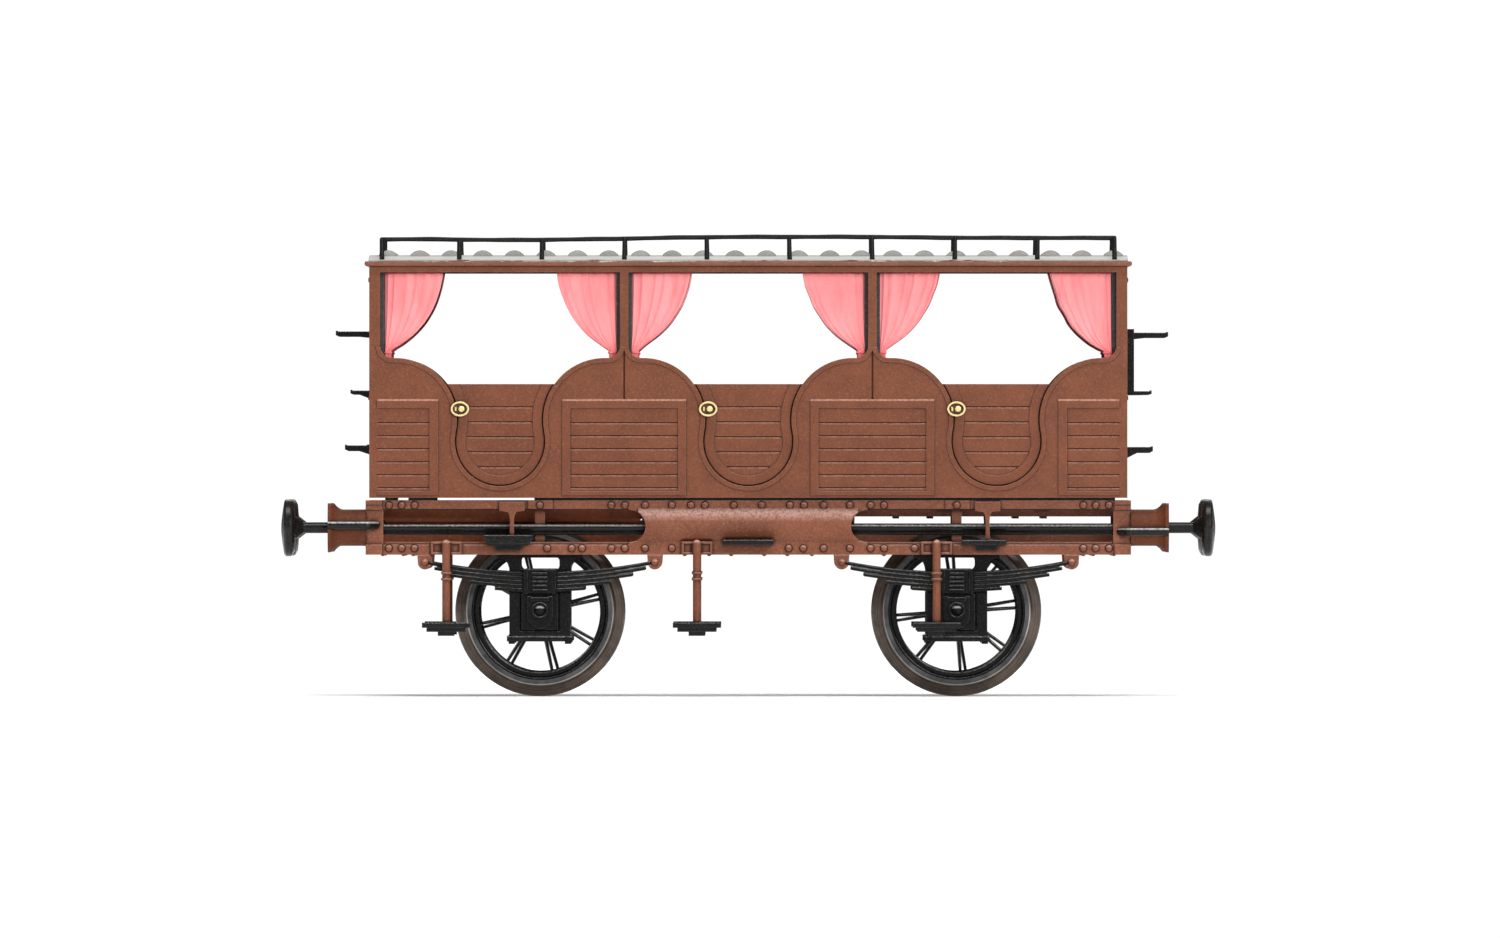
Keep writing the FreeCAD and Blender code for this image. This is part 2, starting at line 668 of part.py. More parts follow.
def ballast_weight():
    """Cast weight under the left half of the floor, with two keels that hang down between the wheels."""
    weight = box(-29.95, -8.7, -9.6, 9.6, 14.3, FRAME_TOP)
    weight = weight.makeChamfer(0.3, [e for e in weight.Edges if abs(e.CenterOfMass.z - 14.3) < 1e-6])
    keels = [box(-29.95, -8.7, y, y + 4.0, 12.4, 14.4) for y in (-6.9, 2.9)]
    return fused([weight] + keels)


def packing_strips():
    """Thin black packing between body and frame: two short blocks, a gap, then a long strip."""
    spans = ((-29.7, -28.85), (-27.8, -25.6), (-17.5, 30.0))
    near = [box(a, b, -SOLE_OUT + 0.1, -SOLE_IN, FRAME_TOP, BODY_Z0) for a, b in spans]
    return Part.Compound(near + [to_far(s) for s in near])


def long_rods():
    """Buffing rods seen through the side frames, from end block to middle plate."""
    length = SLOT_OUT - SLOT_IN
    frame = solebar()
    solids = []
    for side in (-1, 1):
        start = SLOT_IN if side > 0 else -SLOT_OUT
        upper = rod(V(start, -ROD_Y, ROD_Z), V(1, 0, 0), ROD_R, length)
        lower = rod(V(start, -ROD_Y + 0.3, ROD_Z - 0.42), V(1, 0, 0), 0.16, length)
        solids += [upper.cut(frame), lower.cut(frame)]
    return Part.Compound(solids + [to_far(s) for s in solids])


def side_rod(side, radius):
    """Short guide rod along the outside of a buffer housing, cranked into the end block."""
    z = ROD_Z + (0.22 if side < 0 else -0.3)
    y = -(ROD_Y + HOUSING_R + SIDE_ROD_R)
    bend = V(side * 31.15, y, z)
    tail = V(side * 30.6, -SOLE_OUT - 0.14, z)
    reach = HOUSING_MOUTH + radius - SIDE_ROD_R
    straight = rod(V(side * reach, y, z), V(-side, 0, 0), radius, reach - 31.15)
    crank = tail.sub(bend)
    elbow = Part.makeSphere(radius, bend)
    slanted = rod(bend, crank, radius, crank.Length + 0.4)
    slanted = slanted.common(box(-40, 40, -20, -SOLE_OUT, 0, 40))
    return fused([straight, elbow, slanted])


def side_rods():
    near = [side_rod(-1, SIDE_ROD_R), side_rod(1, SIDE_ROD_R)]
    return Part.Compound(near + [to_far(r) for r in near])


def revolved_x(points):
    """Solid of revolution about the X axis through the origin, from (x, radius) points."""
    corners = [V(x, 0, r) for x, r in points]
    face = Part.Face(Part.makePolygon(corners + corners[:1]))
    return face.revolve(V(0, 0, 0), V(1, 0, 0), 360)


def buffer_housing(side):
    """Near housing at one end: tube with a flared mouth, bored for the shank and its spring."""
    base = -FRAME_HALF_LEN
    mouth = -HOUSING_MOUTH
    profile = [
        (base, HOUSING_BORE),
        (base, HOUSING_R),
        (mouth + 1.0, HOUSING_R),
        (mouth + 0.75, 1.56),
        (mouth + 0.5, 1.74),
        (mouth + 0.28, 2.0),
        (mouth, 2.02),
        (mouth, 1.5),
        (mouth + 0.3, 1.2),
        (mouth + 0.35, SHANK_HOLE),
        (mouth + 0.7, SHANK_HOLE),
        (mouth + 0.7, HOUSING_BORE),
    ]
    housing = revolved_x(profile)
    housing.translate(V(0, -ROD_Y, ROD_Z))
    if side > 0:
        housing = to_right(housing)
    return housing.cut(side_rod(side, SIDE_ROD_R + 0.01))


def buffer():
    """Left near buffer: domed head with a cone behind, shank and guide piston."""
    profile = [
        (-PISTON_X + PISTON_T / 2, 0.0),
        (-PISTON_X + PISTON_T / 2, PISTON_R),
        (-PISTON_X - PISTON_T / 2, PISTON_R),
        (-PISTON_X - PISTON_T / 2, SHANK_R),
    ]
    profile += [(-x, r) for x, r in HEAD_SIDE]
    dome_edge = profile[-1]
    corners = [V(x, 0, r) for x, r in profile]
    shapes = [Part.makeLine(corners[k], corners[k + 1]) for k in range(len(corners) - 1)]
    flat = V(-HEAD_FRONT, 0, 0.3)
    bow = V(-HEAD_FRONT + 0.08, 0, dome_edge[1] / 2)
    centre = V(-HEAD_FRONT, 0, 0)
    shapes.append(Part.Arc(corners[-1], bow, flat).toShape())
    shapes.append(Part.makeLine(flat, centre))
    shapes.append(Part.makeLine(centre, corners[0]))
    solid = Part.Face(Part.Wire(shapes)).revolve(V(0, 0, 0), V(1, 0, 0), 360)
    solid.translate(V(0, -ROD_Y, ROD_Z))
    return solid


def buffer_spring():
    """Left near coil spring between the piston and the end block."""
    wire_r = 0.11
    coil_r = 0.84
    x0 = -FRAME_HALF_LEN - wire_r - 0.02
    length = PISTON_X - PISTON_T / 2 - FRAME_HALF_LEN - 2 * wire_r - 0.04
    pitch = length / SPRING_TURNS
    steps = 24 * SPRING_TURNS
    path = []
    for k in range(steps + 1):
        turn = 2 * math.pi * k / 24
        path.append(V(coil_r * math.cos(turn), coil_r * math.sin(turn), pitch * k / 24))
    curve = Part.BSplineCurve()
    curve.interpolate(path)
    along = curve.tangent(curve.FirstParameter)[0]
    section = Part.Wire(Part.makeCircle(wire_r, path[0], along))
    coil = Part.Wire(curve.toShape()).makePipeShell([section], True, True)
    coil.rotate(V(0, 0, 0), V(0, 1, 0), -90)
    coil.translate(V(x0, -ROD_Y, ROD_Z))
    return coil


def coupling_bar():
    """Left flat coupling bar with a round eye."""
    x0 = -FRAME_HALF_LEN + 1.1
    eye_x = -33.15
    shank = box(eye_x, x0, -0.75, 0.75, 13.4, 14.2)
    head = rod(V(eye_x, 0, 13.4), V(0, 0, 1), 1.15, 0.8)
    collar = box(-FRAME_HALF_LEN - 0.4, -FRAME_HALF_LEN, -1.7, 1.7, 13.0, 14.6)
    hole = rod(V(eye_x, 0, 13), V(0, 0, 1), 0.5, 2)
    return fused([shank, head, collar]).cut(hole)


def axleguard():
    """Left near axleguard: plate with a window above the spring and thick jaws round the axlebox."""
    y_in = -GUARD_IN
    plate = Part.Wire([
        line((-2.5, 5.0), (2.5, 5.0)),
        line((2.5, 5.0), (2.5, 10.1)),
        arc((2.5, 10.1), (2.72, 11.0), (3.5, FRAME_LOW)),
        line((3.5, FRAME_LOW), (-3.5, FRAME_LOW)),
        arc((-3.5, FRAME_LOW), (-2.72, 11.0), (-2.5, 10.1)),
        line((-2.5, 10.1), (-2.5, 5.0)),
    ])
    plate = extrude_y(plate, -GUARD_MID, y_in)
    window = extrude_y(outline([(-1.6, 10.35), (1.6, 10.35), (1.6, 11.45), (-1.6, 11.45)]), -12, -10)
    window = window.makeFillet(0.4, [e for e in window.Edges if abs(e.Length - 2.0) < 1e-6])
    jaws = box(-2.5, 2.5, -GUARD_OUT, -GUARD_MID, 5.0, 8.55)
    jaws = jaws.cut(box(-1.6, 1.6, -13, -GUARD_MID, 5.35, 9))
    feet = box(-3.5, 3.5, -SOLE_IN - 0.2, y_in, FRAME_LOW - 0.25, FRAME_LOW)
    pocket = rod(V(0, -13, AXLE_Z), V(0, 1, 0), BEARING_R, 4)
    shape = fused([plate.cut(window), jaws, feet]).cut(pocket)
    shape.translate(V(-AXLE_X, 0, 0))
    return shape


def axlebox():
    """Left near axlebox: block with a stepped face, round cap and rounded oil boss."""
    body = box(-1.5, 1.5, -12.15, -GUARD_MID, 5.45, 8.38)
    front = Part.Wire([
        line((-1.05, 6.6), (-1.05, 8.2)),
        line((-1.05, 8.2), (1.05, 8.2)),
        line((1.05, 8.2), (1.05, 6.6)),
        arc((1.05, 6.6), (0.0, 5.55), (-1.05, 6.6)),
    ])
    front = extrude_y(front, -12.4, -12.15)
    cap = rod(V(0, -12.4, AXLE_Z + 0.1), V(0, -1, 0), 0.68, 0.16)
    cap = cap.cut(rod(V(0, -12.44, AXLE_Z + 0.1), V(0, -1, 0), 0.52, 0.2))
    dome = Part.makeSphere(0.46, V(0, -12.28, AXLE_Z + 0.1))
    dome = dome.common(box(-1, 1, -12.9, -12.4, 5, 9))
    lid = box(-0.75, 0.75, -12.52, -12.4, 7.8, 8.12)
    bore = rod(V(0, -12.05, AXLE_Z), V(0, 1, 0), BEARING_R, 2)
    shape = fused([body, front, cap, dome, lid]).cut(bore)
    shape.translate(V(-AXLE_X, 0, 0))
    return shape


def keeper_bar():
    """Left near keeper across the bottom of the jaws, with a bolt at each end."""
    bar = box(-2.7, 2.7, -GUARD_OUT, -GUARD_IN, 4.5, 4.98)
    bar = bar.makeChamfer(0.12, [e for e in bar.Edges if abs(e.CenterOfMass.y + GUARD_OUT) < 1e-6])
    bolts = []
    for x in (-2.3, 2.3):
        bolts.append(rod(V(x, -11.5, 4.3), V(0, 0, 1), 0.26, 0.2))
        bolts.append(rod(V(x, -GUARD_OUT - 0.1, 4.74), V(0, 1, 0), 0.2, 0.3))
    shape = fused([bar] + bolts)
    shape.translate(V(-AXLE_X, 0, 0))
    return shape


def bearing():
    """Brass cup bearing for one pointed axle end, pressed in from behind the axlebox."""
    profile = [
        (GUARD_IN - 0.15, BEARING_BORE),
        (GUARD_IN - 0.15, 1.15),
        (GUARD_IN, 1.15),
        (GUARD_IN, BEARING_R),
        (12.05, BEARING_R),
        (12.05, 0.0),
        (11.93, 0.0),
        (11.35, BEARING_BORE),
    ]
    corners = [V(0, -y, r) for y, r in profile]
    face = Part.Face(Part.makePolygon(corners + corners[:1]))
    cup = face.revolve(V(0, 0, 0), V(0, 1, 0), 360)
    cup.translate(V(-AXLE_X, 0, AXLE_Z))
    return cup


def leaf(half, level, centre_z, radius):
    """One curved leaf: level counts down from the main leaf."""
    r_in = radius + level * LEAF_PITCH
    r_out = r_in + LEAF_T
    angle = math.asin(half / r_out)
    points = []
    for r in (r_in, r_out):
        points.append([(r * math.sin(a), centre_z - r * math.cos(a)) for a in (-angle, 0.0, angle)])
    upper, lower = points
    wire = Part.Wire([
        arc(*upper),
        line(upper[2], lower[2]),
        arc(lower[2], lower[1], lower[0]),
        line(lower[0], upper[0]),
    ])
    return extrude_y(wire, -SPRING_Y - SPRING_W / 2, -SPRING_Y + SPRING_W / 2)


def leaf_spring():
    """Left near leaf spring, bow down, with an eye at each end, a buckle and U-bolts."""
    radius = (SPRING_HALF ** 2 + SPRING_SAG ** 2) / (2 * SPRING_SAG)
    centre_z = SPRING_EYE_Z - SPRING_SAG + radius
    solids = [leaf(h, k, centre_z, radius - LEAF_T / 2) for k, h in enumerate(LEAF_HALVES)]
    y0 = -SPRING_Y - SPRING_W / 2
    y1 = -SPRING_Y + SPRING_W / 2
    for x in (-SPRING_HALF, SPRING_HALF):
        solids.append(rod(V(x, y0 + 0.1, SPRING_EYE_Z), V(0, 1, 0), 0.3, SPRING_W - 0.2))
    solids.append(box(-1.0, 1.0, y0 - 0.08, y1, 8.45, 10.3))
    for k in range(5):
        z = 8.62 + 0.34 * k
        solids.append(box(-0.6, 0.6, y0 - 0.27, y0, z, z + 0.17))
    for x in (-1.15, 1.15):
        solids.append(box(x - 0.17, x + 0.17, y0 - 0.16, y0 + 0.1, 8.75, 10.42))
        solids.append(rod(V(x, y0 + 0.1, 8.4), V(0, 0, 1), 0.22, 0.42))
    solids.append(box(-1.3, 1.3, y0 - 0.16, y1, 10.3, 10.42))
    shape = fused(solids)
    shape.translate(V(-AXLE_X, 0, 0))
    return shape


def spring_hanger(x):
    """Rounded bracket under the side frame that holds one spring eye, forked over it."""
    lobe = Part.Wire([
        line((-0.62, FRAME_LOW), (0.62, FRAME_LOW)),
        line((0.62, FRAME_LOW), (0.58, SPRING_EYE_Z)),
        arc((0.58, SPRING_EYE_Z), (0.0, SPRING_EYE_Z - 0.58), (-0.58, SPRING_EYE_Z)),
        line((-0.58, SPRING_EYE_Z), (-0.62, FRAME_LOW)),
    ])
    cheek = extrude_y(lobe, -SOLE_OUT, -SOLE_OUT + 0.25)
    cheek_b = extrude_y(lobe, -SOLE_IN - 0.25, -SOLE_IN)
    bridge = box(-0.62, 0.62, -SOLE_OUT, -SOLE_IN, FRAME_LOW - 0.15, FRAME_LOW)
    pin = Part.makeSphere(0.3, V(0, -SOLE_OUT + 0.08, SPRING_EYE_Z))
    pin_bar = rod(V(0, -SOLE_OUT + 0.1, SPRING_EYE_Z), V(0, 1, 0), 0.12, SOLE_OUT - SOLE_IN - 0.2)
    shape = fused([cheek, cheek_b, bridge, pin, pin_bar])
    shape.translate(V(x, 0, 0))
    return shape


def spring_hangers():
    """Eight hangers, one for each spring end."""
    near = []
    for axle in (-AXLE_X, AXLE_X):
        for end in (-SPRING_HALF, SPRING_HALF):
            near.append(spring_hanger(axle + end).cut(springs_near()))
    return Part.Compound(near + [to_far(h) for h in near])


def springs_near():
    left = leaf_spring()
    return Part.Compound([left, to_right(left)])


def lower_step_posts():
    """Turned posts with two rings, each held by a rimmed saddle on the lower beam."""
    near = []
    for x in LOWER_STEPS:
        y = -13.3
        parts = [rod(V(x, y, STEP_Z), V(0, 0, 1), 0.33, 12.5 - STEP_Z)]
        parts.append(Part.makeSphere(0.33, V(x, y, 12.5)))
        for z in (10.0, 9.5):
            parts.append(rod(V(x, y, z), V(0, 0, 1), 0.43, 0.2))
        saddle = box(x - 1.25, x + 1.25, -12.82, -SOLE_OUT, 11.62, 12.67)
        parts.append(saddle.cut(box(x - 1.07, x + 1.07, -13, -12.64, 11.8, 12.49)))
        parts.append(box(x - 0.42, x + 0.42, -13.2, -12.6, 11.85, 12.44))
        post = fused(parts)
        near.append(post.cut([rivet(r, 12.12, -SOLE_OUT) for r in LOWER_RIVETS]))
    return Part.Compound(near + [to_far(p) for p in near])


def lower_step_treads():
    """Black treads in three narrowing layers."""
    near = []
    for x in LOWER_STEPS:
        layers = [
            box(x - 1.97, x + 1.97, -15.1, -12.85, STEP_Z - 0.42, STEP_Z),
            box(x - 1.6, x + 1.6, -14.9, -12.95, STEP_Z - 0.75, STEP_Z - 0.42),
            box(x - 0.68, x + 0.68, -14.5, -13.1, STEP_Z - 1.08, STEP_Z - 0.75),
        ]
        near.append(fused(layers))
    return Part.Compound(near + [to_far(t) for t in near])


def upper_step_posts():
    """Flat T-shaped irons from the upper beam down to the upper steps."""
    near = []
    for x, top in UPPER_STEPS:
        edge = [(1.04, 15.95), (1.04, 15.18), (0.36, 15.1), (0.21, 14.85), (0.15, 14.1), (0.19, top)]
        head = outline(edge + [(-x, z) for x, z in reversed(edge)])
        iron = extrude_y(head, -12.62, -SOLE_OUT)
        iron.translate(V(x + IRON_OFFSET, 0, 0))
        near.append(iron)
    return Part.Compound(near + [to_far(i) for i in near])


def upper_step_treads():
    """Black treads under the doors: a deep tapered one, a thin middle one and a thin one on a block."""
    left_x, left_top = UPPER_STEPS[0]
    right_x, right_top = UPPER_STEPS[1]
    deep = outline([(-2.0, left_top), (2.0, left_top), (2.0, left_top - 0.15), (1.75, left_top - 0.72),
                    (-1.75, left_top - 0.72), (-2.0, left_top - 0.15)])
    neck = outline([(-1.3, left_top - 0.72), (1.3, left_top - 0.72), (0.9, 11.95), (-0.9, 11.95)])
    left = fused([extrude_y(deep, -14.5, -SOLE_OUT - 0.02), extrude_y(neck, -12.95, -SOLE_OUT)])
    left.translate(V(left_x, 0, 0))
    slab = box(-1.83, 1.83, -14.5, -SOLE_OUT - 0.02, right_top - 0.38, right_top)
    block = box(-0.6, 1.0, -12.95, -SOLE_OUT, 11.95, right_top - 0.38)
    right = fused([rounded_tread(slab), block])
    right.translate(V(right_x, 0, 0))
    middle = rounded_tread(box(-2.08, 2.08, -14.5, -SOLE_OUT, 12.42, 12.82)).cut(solebar_bulge())
    heads = [rivet(x, 12.12, -SOLE_OUT) for x in LOWER_RIVETS]
    near = [left.cut(heads), right.cut(heads), middle]
    return Part.Compound(near + [to_far(t) for t in near])


def rounded_tread(slab):
    """Tread slab with its four long corners rounded at the ends."""
    depth = slab.BoundBox.YLength
    return slab.makeFillet(0.13, [e for e in slab.Edges if abs(e.Length - depth) < 1e-6])


def axle():
    """Steel axle with stepped, pointed ends."""
    profile = [
        (0.0, AXLE_R),
        (WHEEL_BACK - 0.4, AXLE_R),
        (WHEEL_BACK - 0.4, 0.75),
        (WHEEL_FACE + 0.1, 0.75),
        (WHEEL_FACE + 0.1, JOURNAL_R),
        (11.3, JOURNAL_R),
        (11.83, 0.0),
    ]
    near = [V(0, -y, r) for y, r in profile]
    far = [V(0, y, r) for y, r in reversed(profile[1:])]
    face = Part.Face(Part.makePolygon(far + near + far[:1]))
    bar = face.revolve(V(0, 0, 0), V(0, 1, 0), 360)
    bar.translate(V(-AXLE_X, 0, AXLE_Z))
    return bar


def revolved_y(points):
    """Solid of revolution about the Y axis, from (distance out from the middle, radius) points."""
    corners = [V(0, -y, r) for y, r in points]
    face = Part.Face(Part.makePolygon(corners + corners[:1]))
    return face.revolve(V(0, 0, 0), V(0, 1, 0), 360)


def tyre_profile():
    back = WHEEL_BACK
    return [
        (back, TYRE_IN),
        (back, 6.55),
        (back + 0.12, 6.82),
        (back + 0.28, FLANGE_R),
        (back + 0.46, 6.88),
        (back + 0.62, 6.6),
        (back + 0.74, 6.25),
        (back + 0.92, 6.12),
        (WHEEL_FACE - 0.14, TREAD_R),
        (WHEEL_FACE, TREAD_R - 0.12),
        (WHEEL_FACE, TYRE_IN),
    ]


def tyres(axle_x):
    """Two flanged metal tyres of one wheelset."""
    tyre = revolved_y(tyre_profile())
    pair = [tyre, to_far(tyre)]
    for ring in pair:
        ring.translate(V(axle_x, 0, AXLE_Z))
    return Part.Compound(pair)


def spoke():
    """One tapered oval spoke pointing up, out of the hub."""
    mid_y = -(WHEEL_BACK + 1.55)
    rings = []
    for z, half_x, half_y in ((0.9, 0.19, 0.75), (RIM_IN + 0.15, 0.135, 0.55)):
        ellipse = Part.Ellipse(V(0, half_y, 0), V(half_x, 0, 0), V(0, 0, 0))
        ring = Part.Wire(ellipse.toShape())
        ring.translate(V(0, mid_y, z))
        rings.append(ring)
    return Part.makeLoft(rings, True)


def wheel_centre(phase_deg):
    """Spoked centre: hub, spokes and inner rim, bored for the axle."""
    rim = revolved_y([
        (WHEEL_BACK + 0.35, RIM_IN + 0.12),
        (WHEEL_BACK + 0.35, TYRE_IN),
        (WHEEL_FACE - 0.05, TYRE_IN),
        (WHEEL_FACE - 0.05, 5.44),
        (WHEEL_FACE - 0.25, 5.38),
        (WHEEL_FACE - 0.15, 5.30),
        (WHEEL_FACE - 0.15, RIM_IN + 0.1),
        (WHEEL_FACE - 0.3, RIM_IN),
        (WHEEL_BACK + 0.6, RIM_IN),
    ])
    hub = revolved_y([
        (WHEEL_BACK, 0.75),
        (WHEEL_BACK, 1.25),
        (WHEEL_BACK + 0.5, HUB_R),
        (WHEEL_FACE - 0.5, HUB_R),
        (WHEEL_FACE + 0.1, 1.15),
        (WHEEL_FACE + 0.1, 0.75),
    ])
    parts = [rim, hub]
    bore = rod(V(0, -12, 0), V(0, 1, 0), 0.75, 6)
    for k in range(SPOKES):
        arm = spoke()
        arm.rotate(V(0, 0, 0), V(0, 1, 0), -phase_deg - 360.0 * k / SPOKES)
        parts.append(arm.cut(bore))
    return fused(parts)


def wheel_centres(axle_x, end):
    near = wheel_centre(SPOKE_PHASE[(end, "near")])
    far = to_far(wheel_centre(SPOKE_PHASE[(end, "far")]))
    for wheel in (near, far):
        wheel.translate(V(axle_x, 0, AXLE_Z))
    return Part.Compound([near, far])


def on_four_corners(shape):
    """A left near piece and its copies at the other three corners."""
    return {
        "left_near": shape,
        "left_far": to_far(shape),
        "right_near": to_right(shape),
        "right_far": to_far(to_right(shape)),
    }


def springs_at_corners(spring):
    """Four springs wound the same way, moved and turned but not mirrored."""
    across = V(0, 2 * ROD_Y, 0)
    far = spring.copy()
    far.translate(across)
    turned = spring.copy()
    turned.rotate(V(0, 0, 0), V(0, 0, 1), 180)
    right_near = turned.copy()
    right_near.translate(across.negative())
    return {"left_near": spring, "left_far": far, "right_near": right_near, "right_far": turned}


def all_parts():
    """Every node of the coach with its shape."""
    parts = {
        "body_side_near": body_side(),
        "doors_near": doors(),
        "door_handles": door_handles(),
        "body_end_left": body_end(),
        "floor_panel": floor_panel(),
        "partitions": partitions(),
        "bench_seats": bench_seats(),
        "curtains_near": curtains(),
        "roof_cornice": roof_cornice(),
        "roof_panel": roof_panel(),
        "roof_luggage_rail": roof_rail(),
        "end_steps_left": end_steps_left(),
        "end_steps_right": end_steps_right(),
        "solebar_near": solebar(),
        "headstock_left": headstock(),
        "cross_members": cross_members(),
        "ballast_weight": ballast_weight(),
        "packing_strips": packing_strips(),
        "long_buffing_rods": long_rods(),
        "buffer_side_rods": side_rods(),
        "coupling_bar_left": coupling_bar(),
        "leaf_springs_near": springs_near(),
        "spring_hangers": spring_hangers(),
        "lower_step_posts": lower_step_posts(),
        "lower_step_treads": lower_step_treads(),
        "upper_step_posts": upper_step_posts(),
        "upper_step_treads": upper_step_treads(),
        "axle_left": axle(),
        "axle_right": to_right(axle()),
        "tyres_left": tyres(-AXLE_X),
        "tyres_right": tyres(AXLE_X),
        "wheel_centres_left": wheel_centres(-AXLE_X, "left"),
        "wheel_centres_right": wheel_centres(AXLE_X, "right"),
    }
    for name in ("body_side", "doors", "curtains", "solebar", "leaf_springs"):
        parts[name + "_far"] = to_far(parts[name + "_near"])
    for name in ("body_end", "headstock", "coupling_bar"):
        parts[name + "_right"] = to_right(parts[name + "_left"])
    for end, side in (("left", -1), ("right", 1)):
        housing = buffer_housing(side)
        parts["buffer_housing_" + end + "_near"] = housing
        parts["buffer_housing_" + end + "_far"] = to_far(housing)
    for corner, copy in springs_at_corners(buffer_spring()).items():
        parts["buffer_spring_" + corner] = copy
    for name, shape in (("axleguard", axleguard()), ("buffer", buffer())):
        for corner, copy in on_four_corners(shape).items():
            parts[name + "_" + corner] = copy
    for name, shape in (("axleboxes", axlebox()), ("keeper_bars", keeper_bar()), ("axle_bearings", bearing())):
        parts[name] = Part.Compound(list(on_four_corners(shape).values()))
    return parts


def main():
    os.makedirs("parts", exist_ok=True)
    for node, shape in all_parts().items():
        shape.exportStep("parts/" + node + ".step")


main()
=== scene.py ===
import math
import random

import bmesh
import bpy
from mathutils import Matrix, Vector


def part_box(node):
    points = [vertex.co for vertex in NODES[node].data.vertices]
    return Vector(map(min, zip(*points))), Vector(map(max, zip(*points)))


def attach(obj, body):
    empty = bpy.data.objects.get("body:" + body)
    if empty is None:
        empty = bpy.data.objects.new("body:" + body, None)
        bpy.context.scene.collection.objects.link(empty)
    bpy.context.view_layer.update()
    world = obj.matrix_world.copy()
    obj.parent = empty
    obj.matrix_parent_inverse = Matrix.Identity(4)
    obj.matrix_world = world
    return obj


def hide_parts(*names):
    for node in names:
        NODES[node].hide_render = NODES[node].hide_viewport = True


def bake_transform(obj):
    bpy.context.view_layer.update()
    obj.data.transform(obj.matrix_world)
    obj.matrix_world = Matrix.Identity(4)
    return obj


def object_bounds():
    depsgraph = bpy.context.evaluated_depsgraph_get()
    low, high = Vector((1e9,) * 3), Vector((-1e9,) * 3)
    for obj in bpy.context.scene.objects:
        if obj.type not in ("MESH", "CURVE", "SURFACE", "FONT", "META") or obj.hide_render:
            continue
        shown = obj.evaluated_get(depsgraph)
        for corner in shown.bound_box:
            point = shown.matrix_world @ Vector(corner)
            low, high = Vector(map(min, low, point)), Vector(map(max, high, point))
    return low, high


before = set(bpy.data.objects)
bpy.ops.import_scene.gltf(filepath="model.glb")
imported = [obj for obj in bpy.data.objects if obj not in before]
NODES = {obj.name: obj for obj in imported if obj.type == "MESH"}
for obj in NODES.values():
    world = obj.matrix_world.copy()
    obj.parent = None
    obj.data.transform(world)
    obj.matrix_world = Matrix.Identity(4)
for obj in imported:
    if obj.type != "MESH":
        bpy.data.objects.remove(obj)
CAD_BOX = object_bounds()
MM = 0.001
TURN = 2 * math.pi


# ---------------------------------------------------------------- materials

def rgb(r, g, b):
    """Linear colour from display values of 0 to 255."""
    out = []
    for v in (r, g, b):
        v /= 255.0
        out.append(v / 12.92 if v <= 0.04045 else ((v + 0.055) / 1.055) ** 2.4)
    return (*out, 1.0)


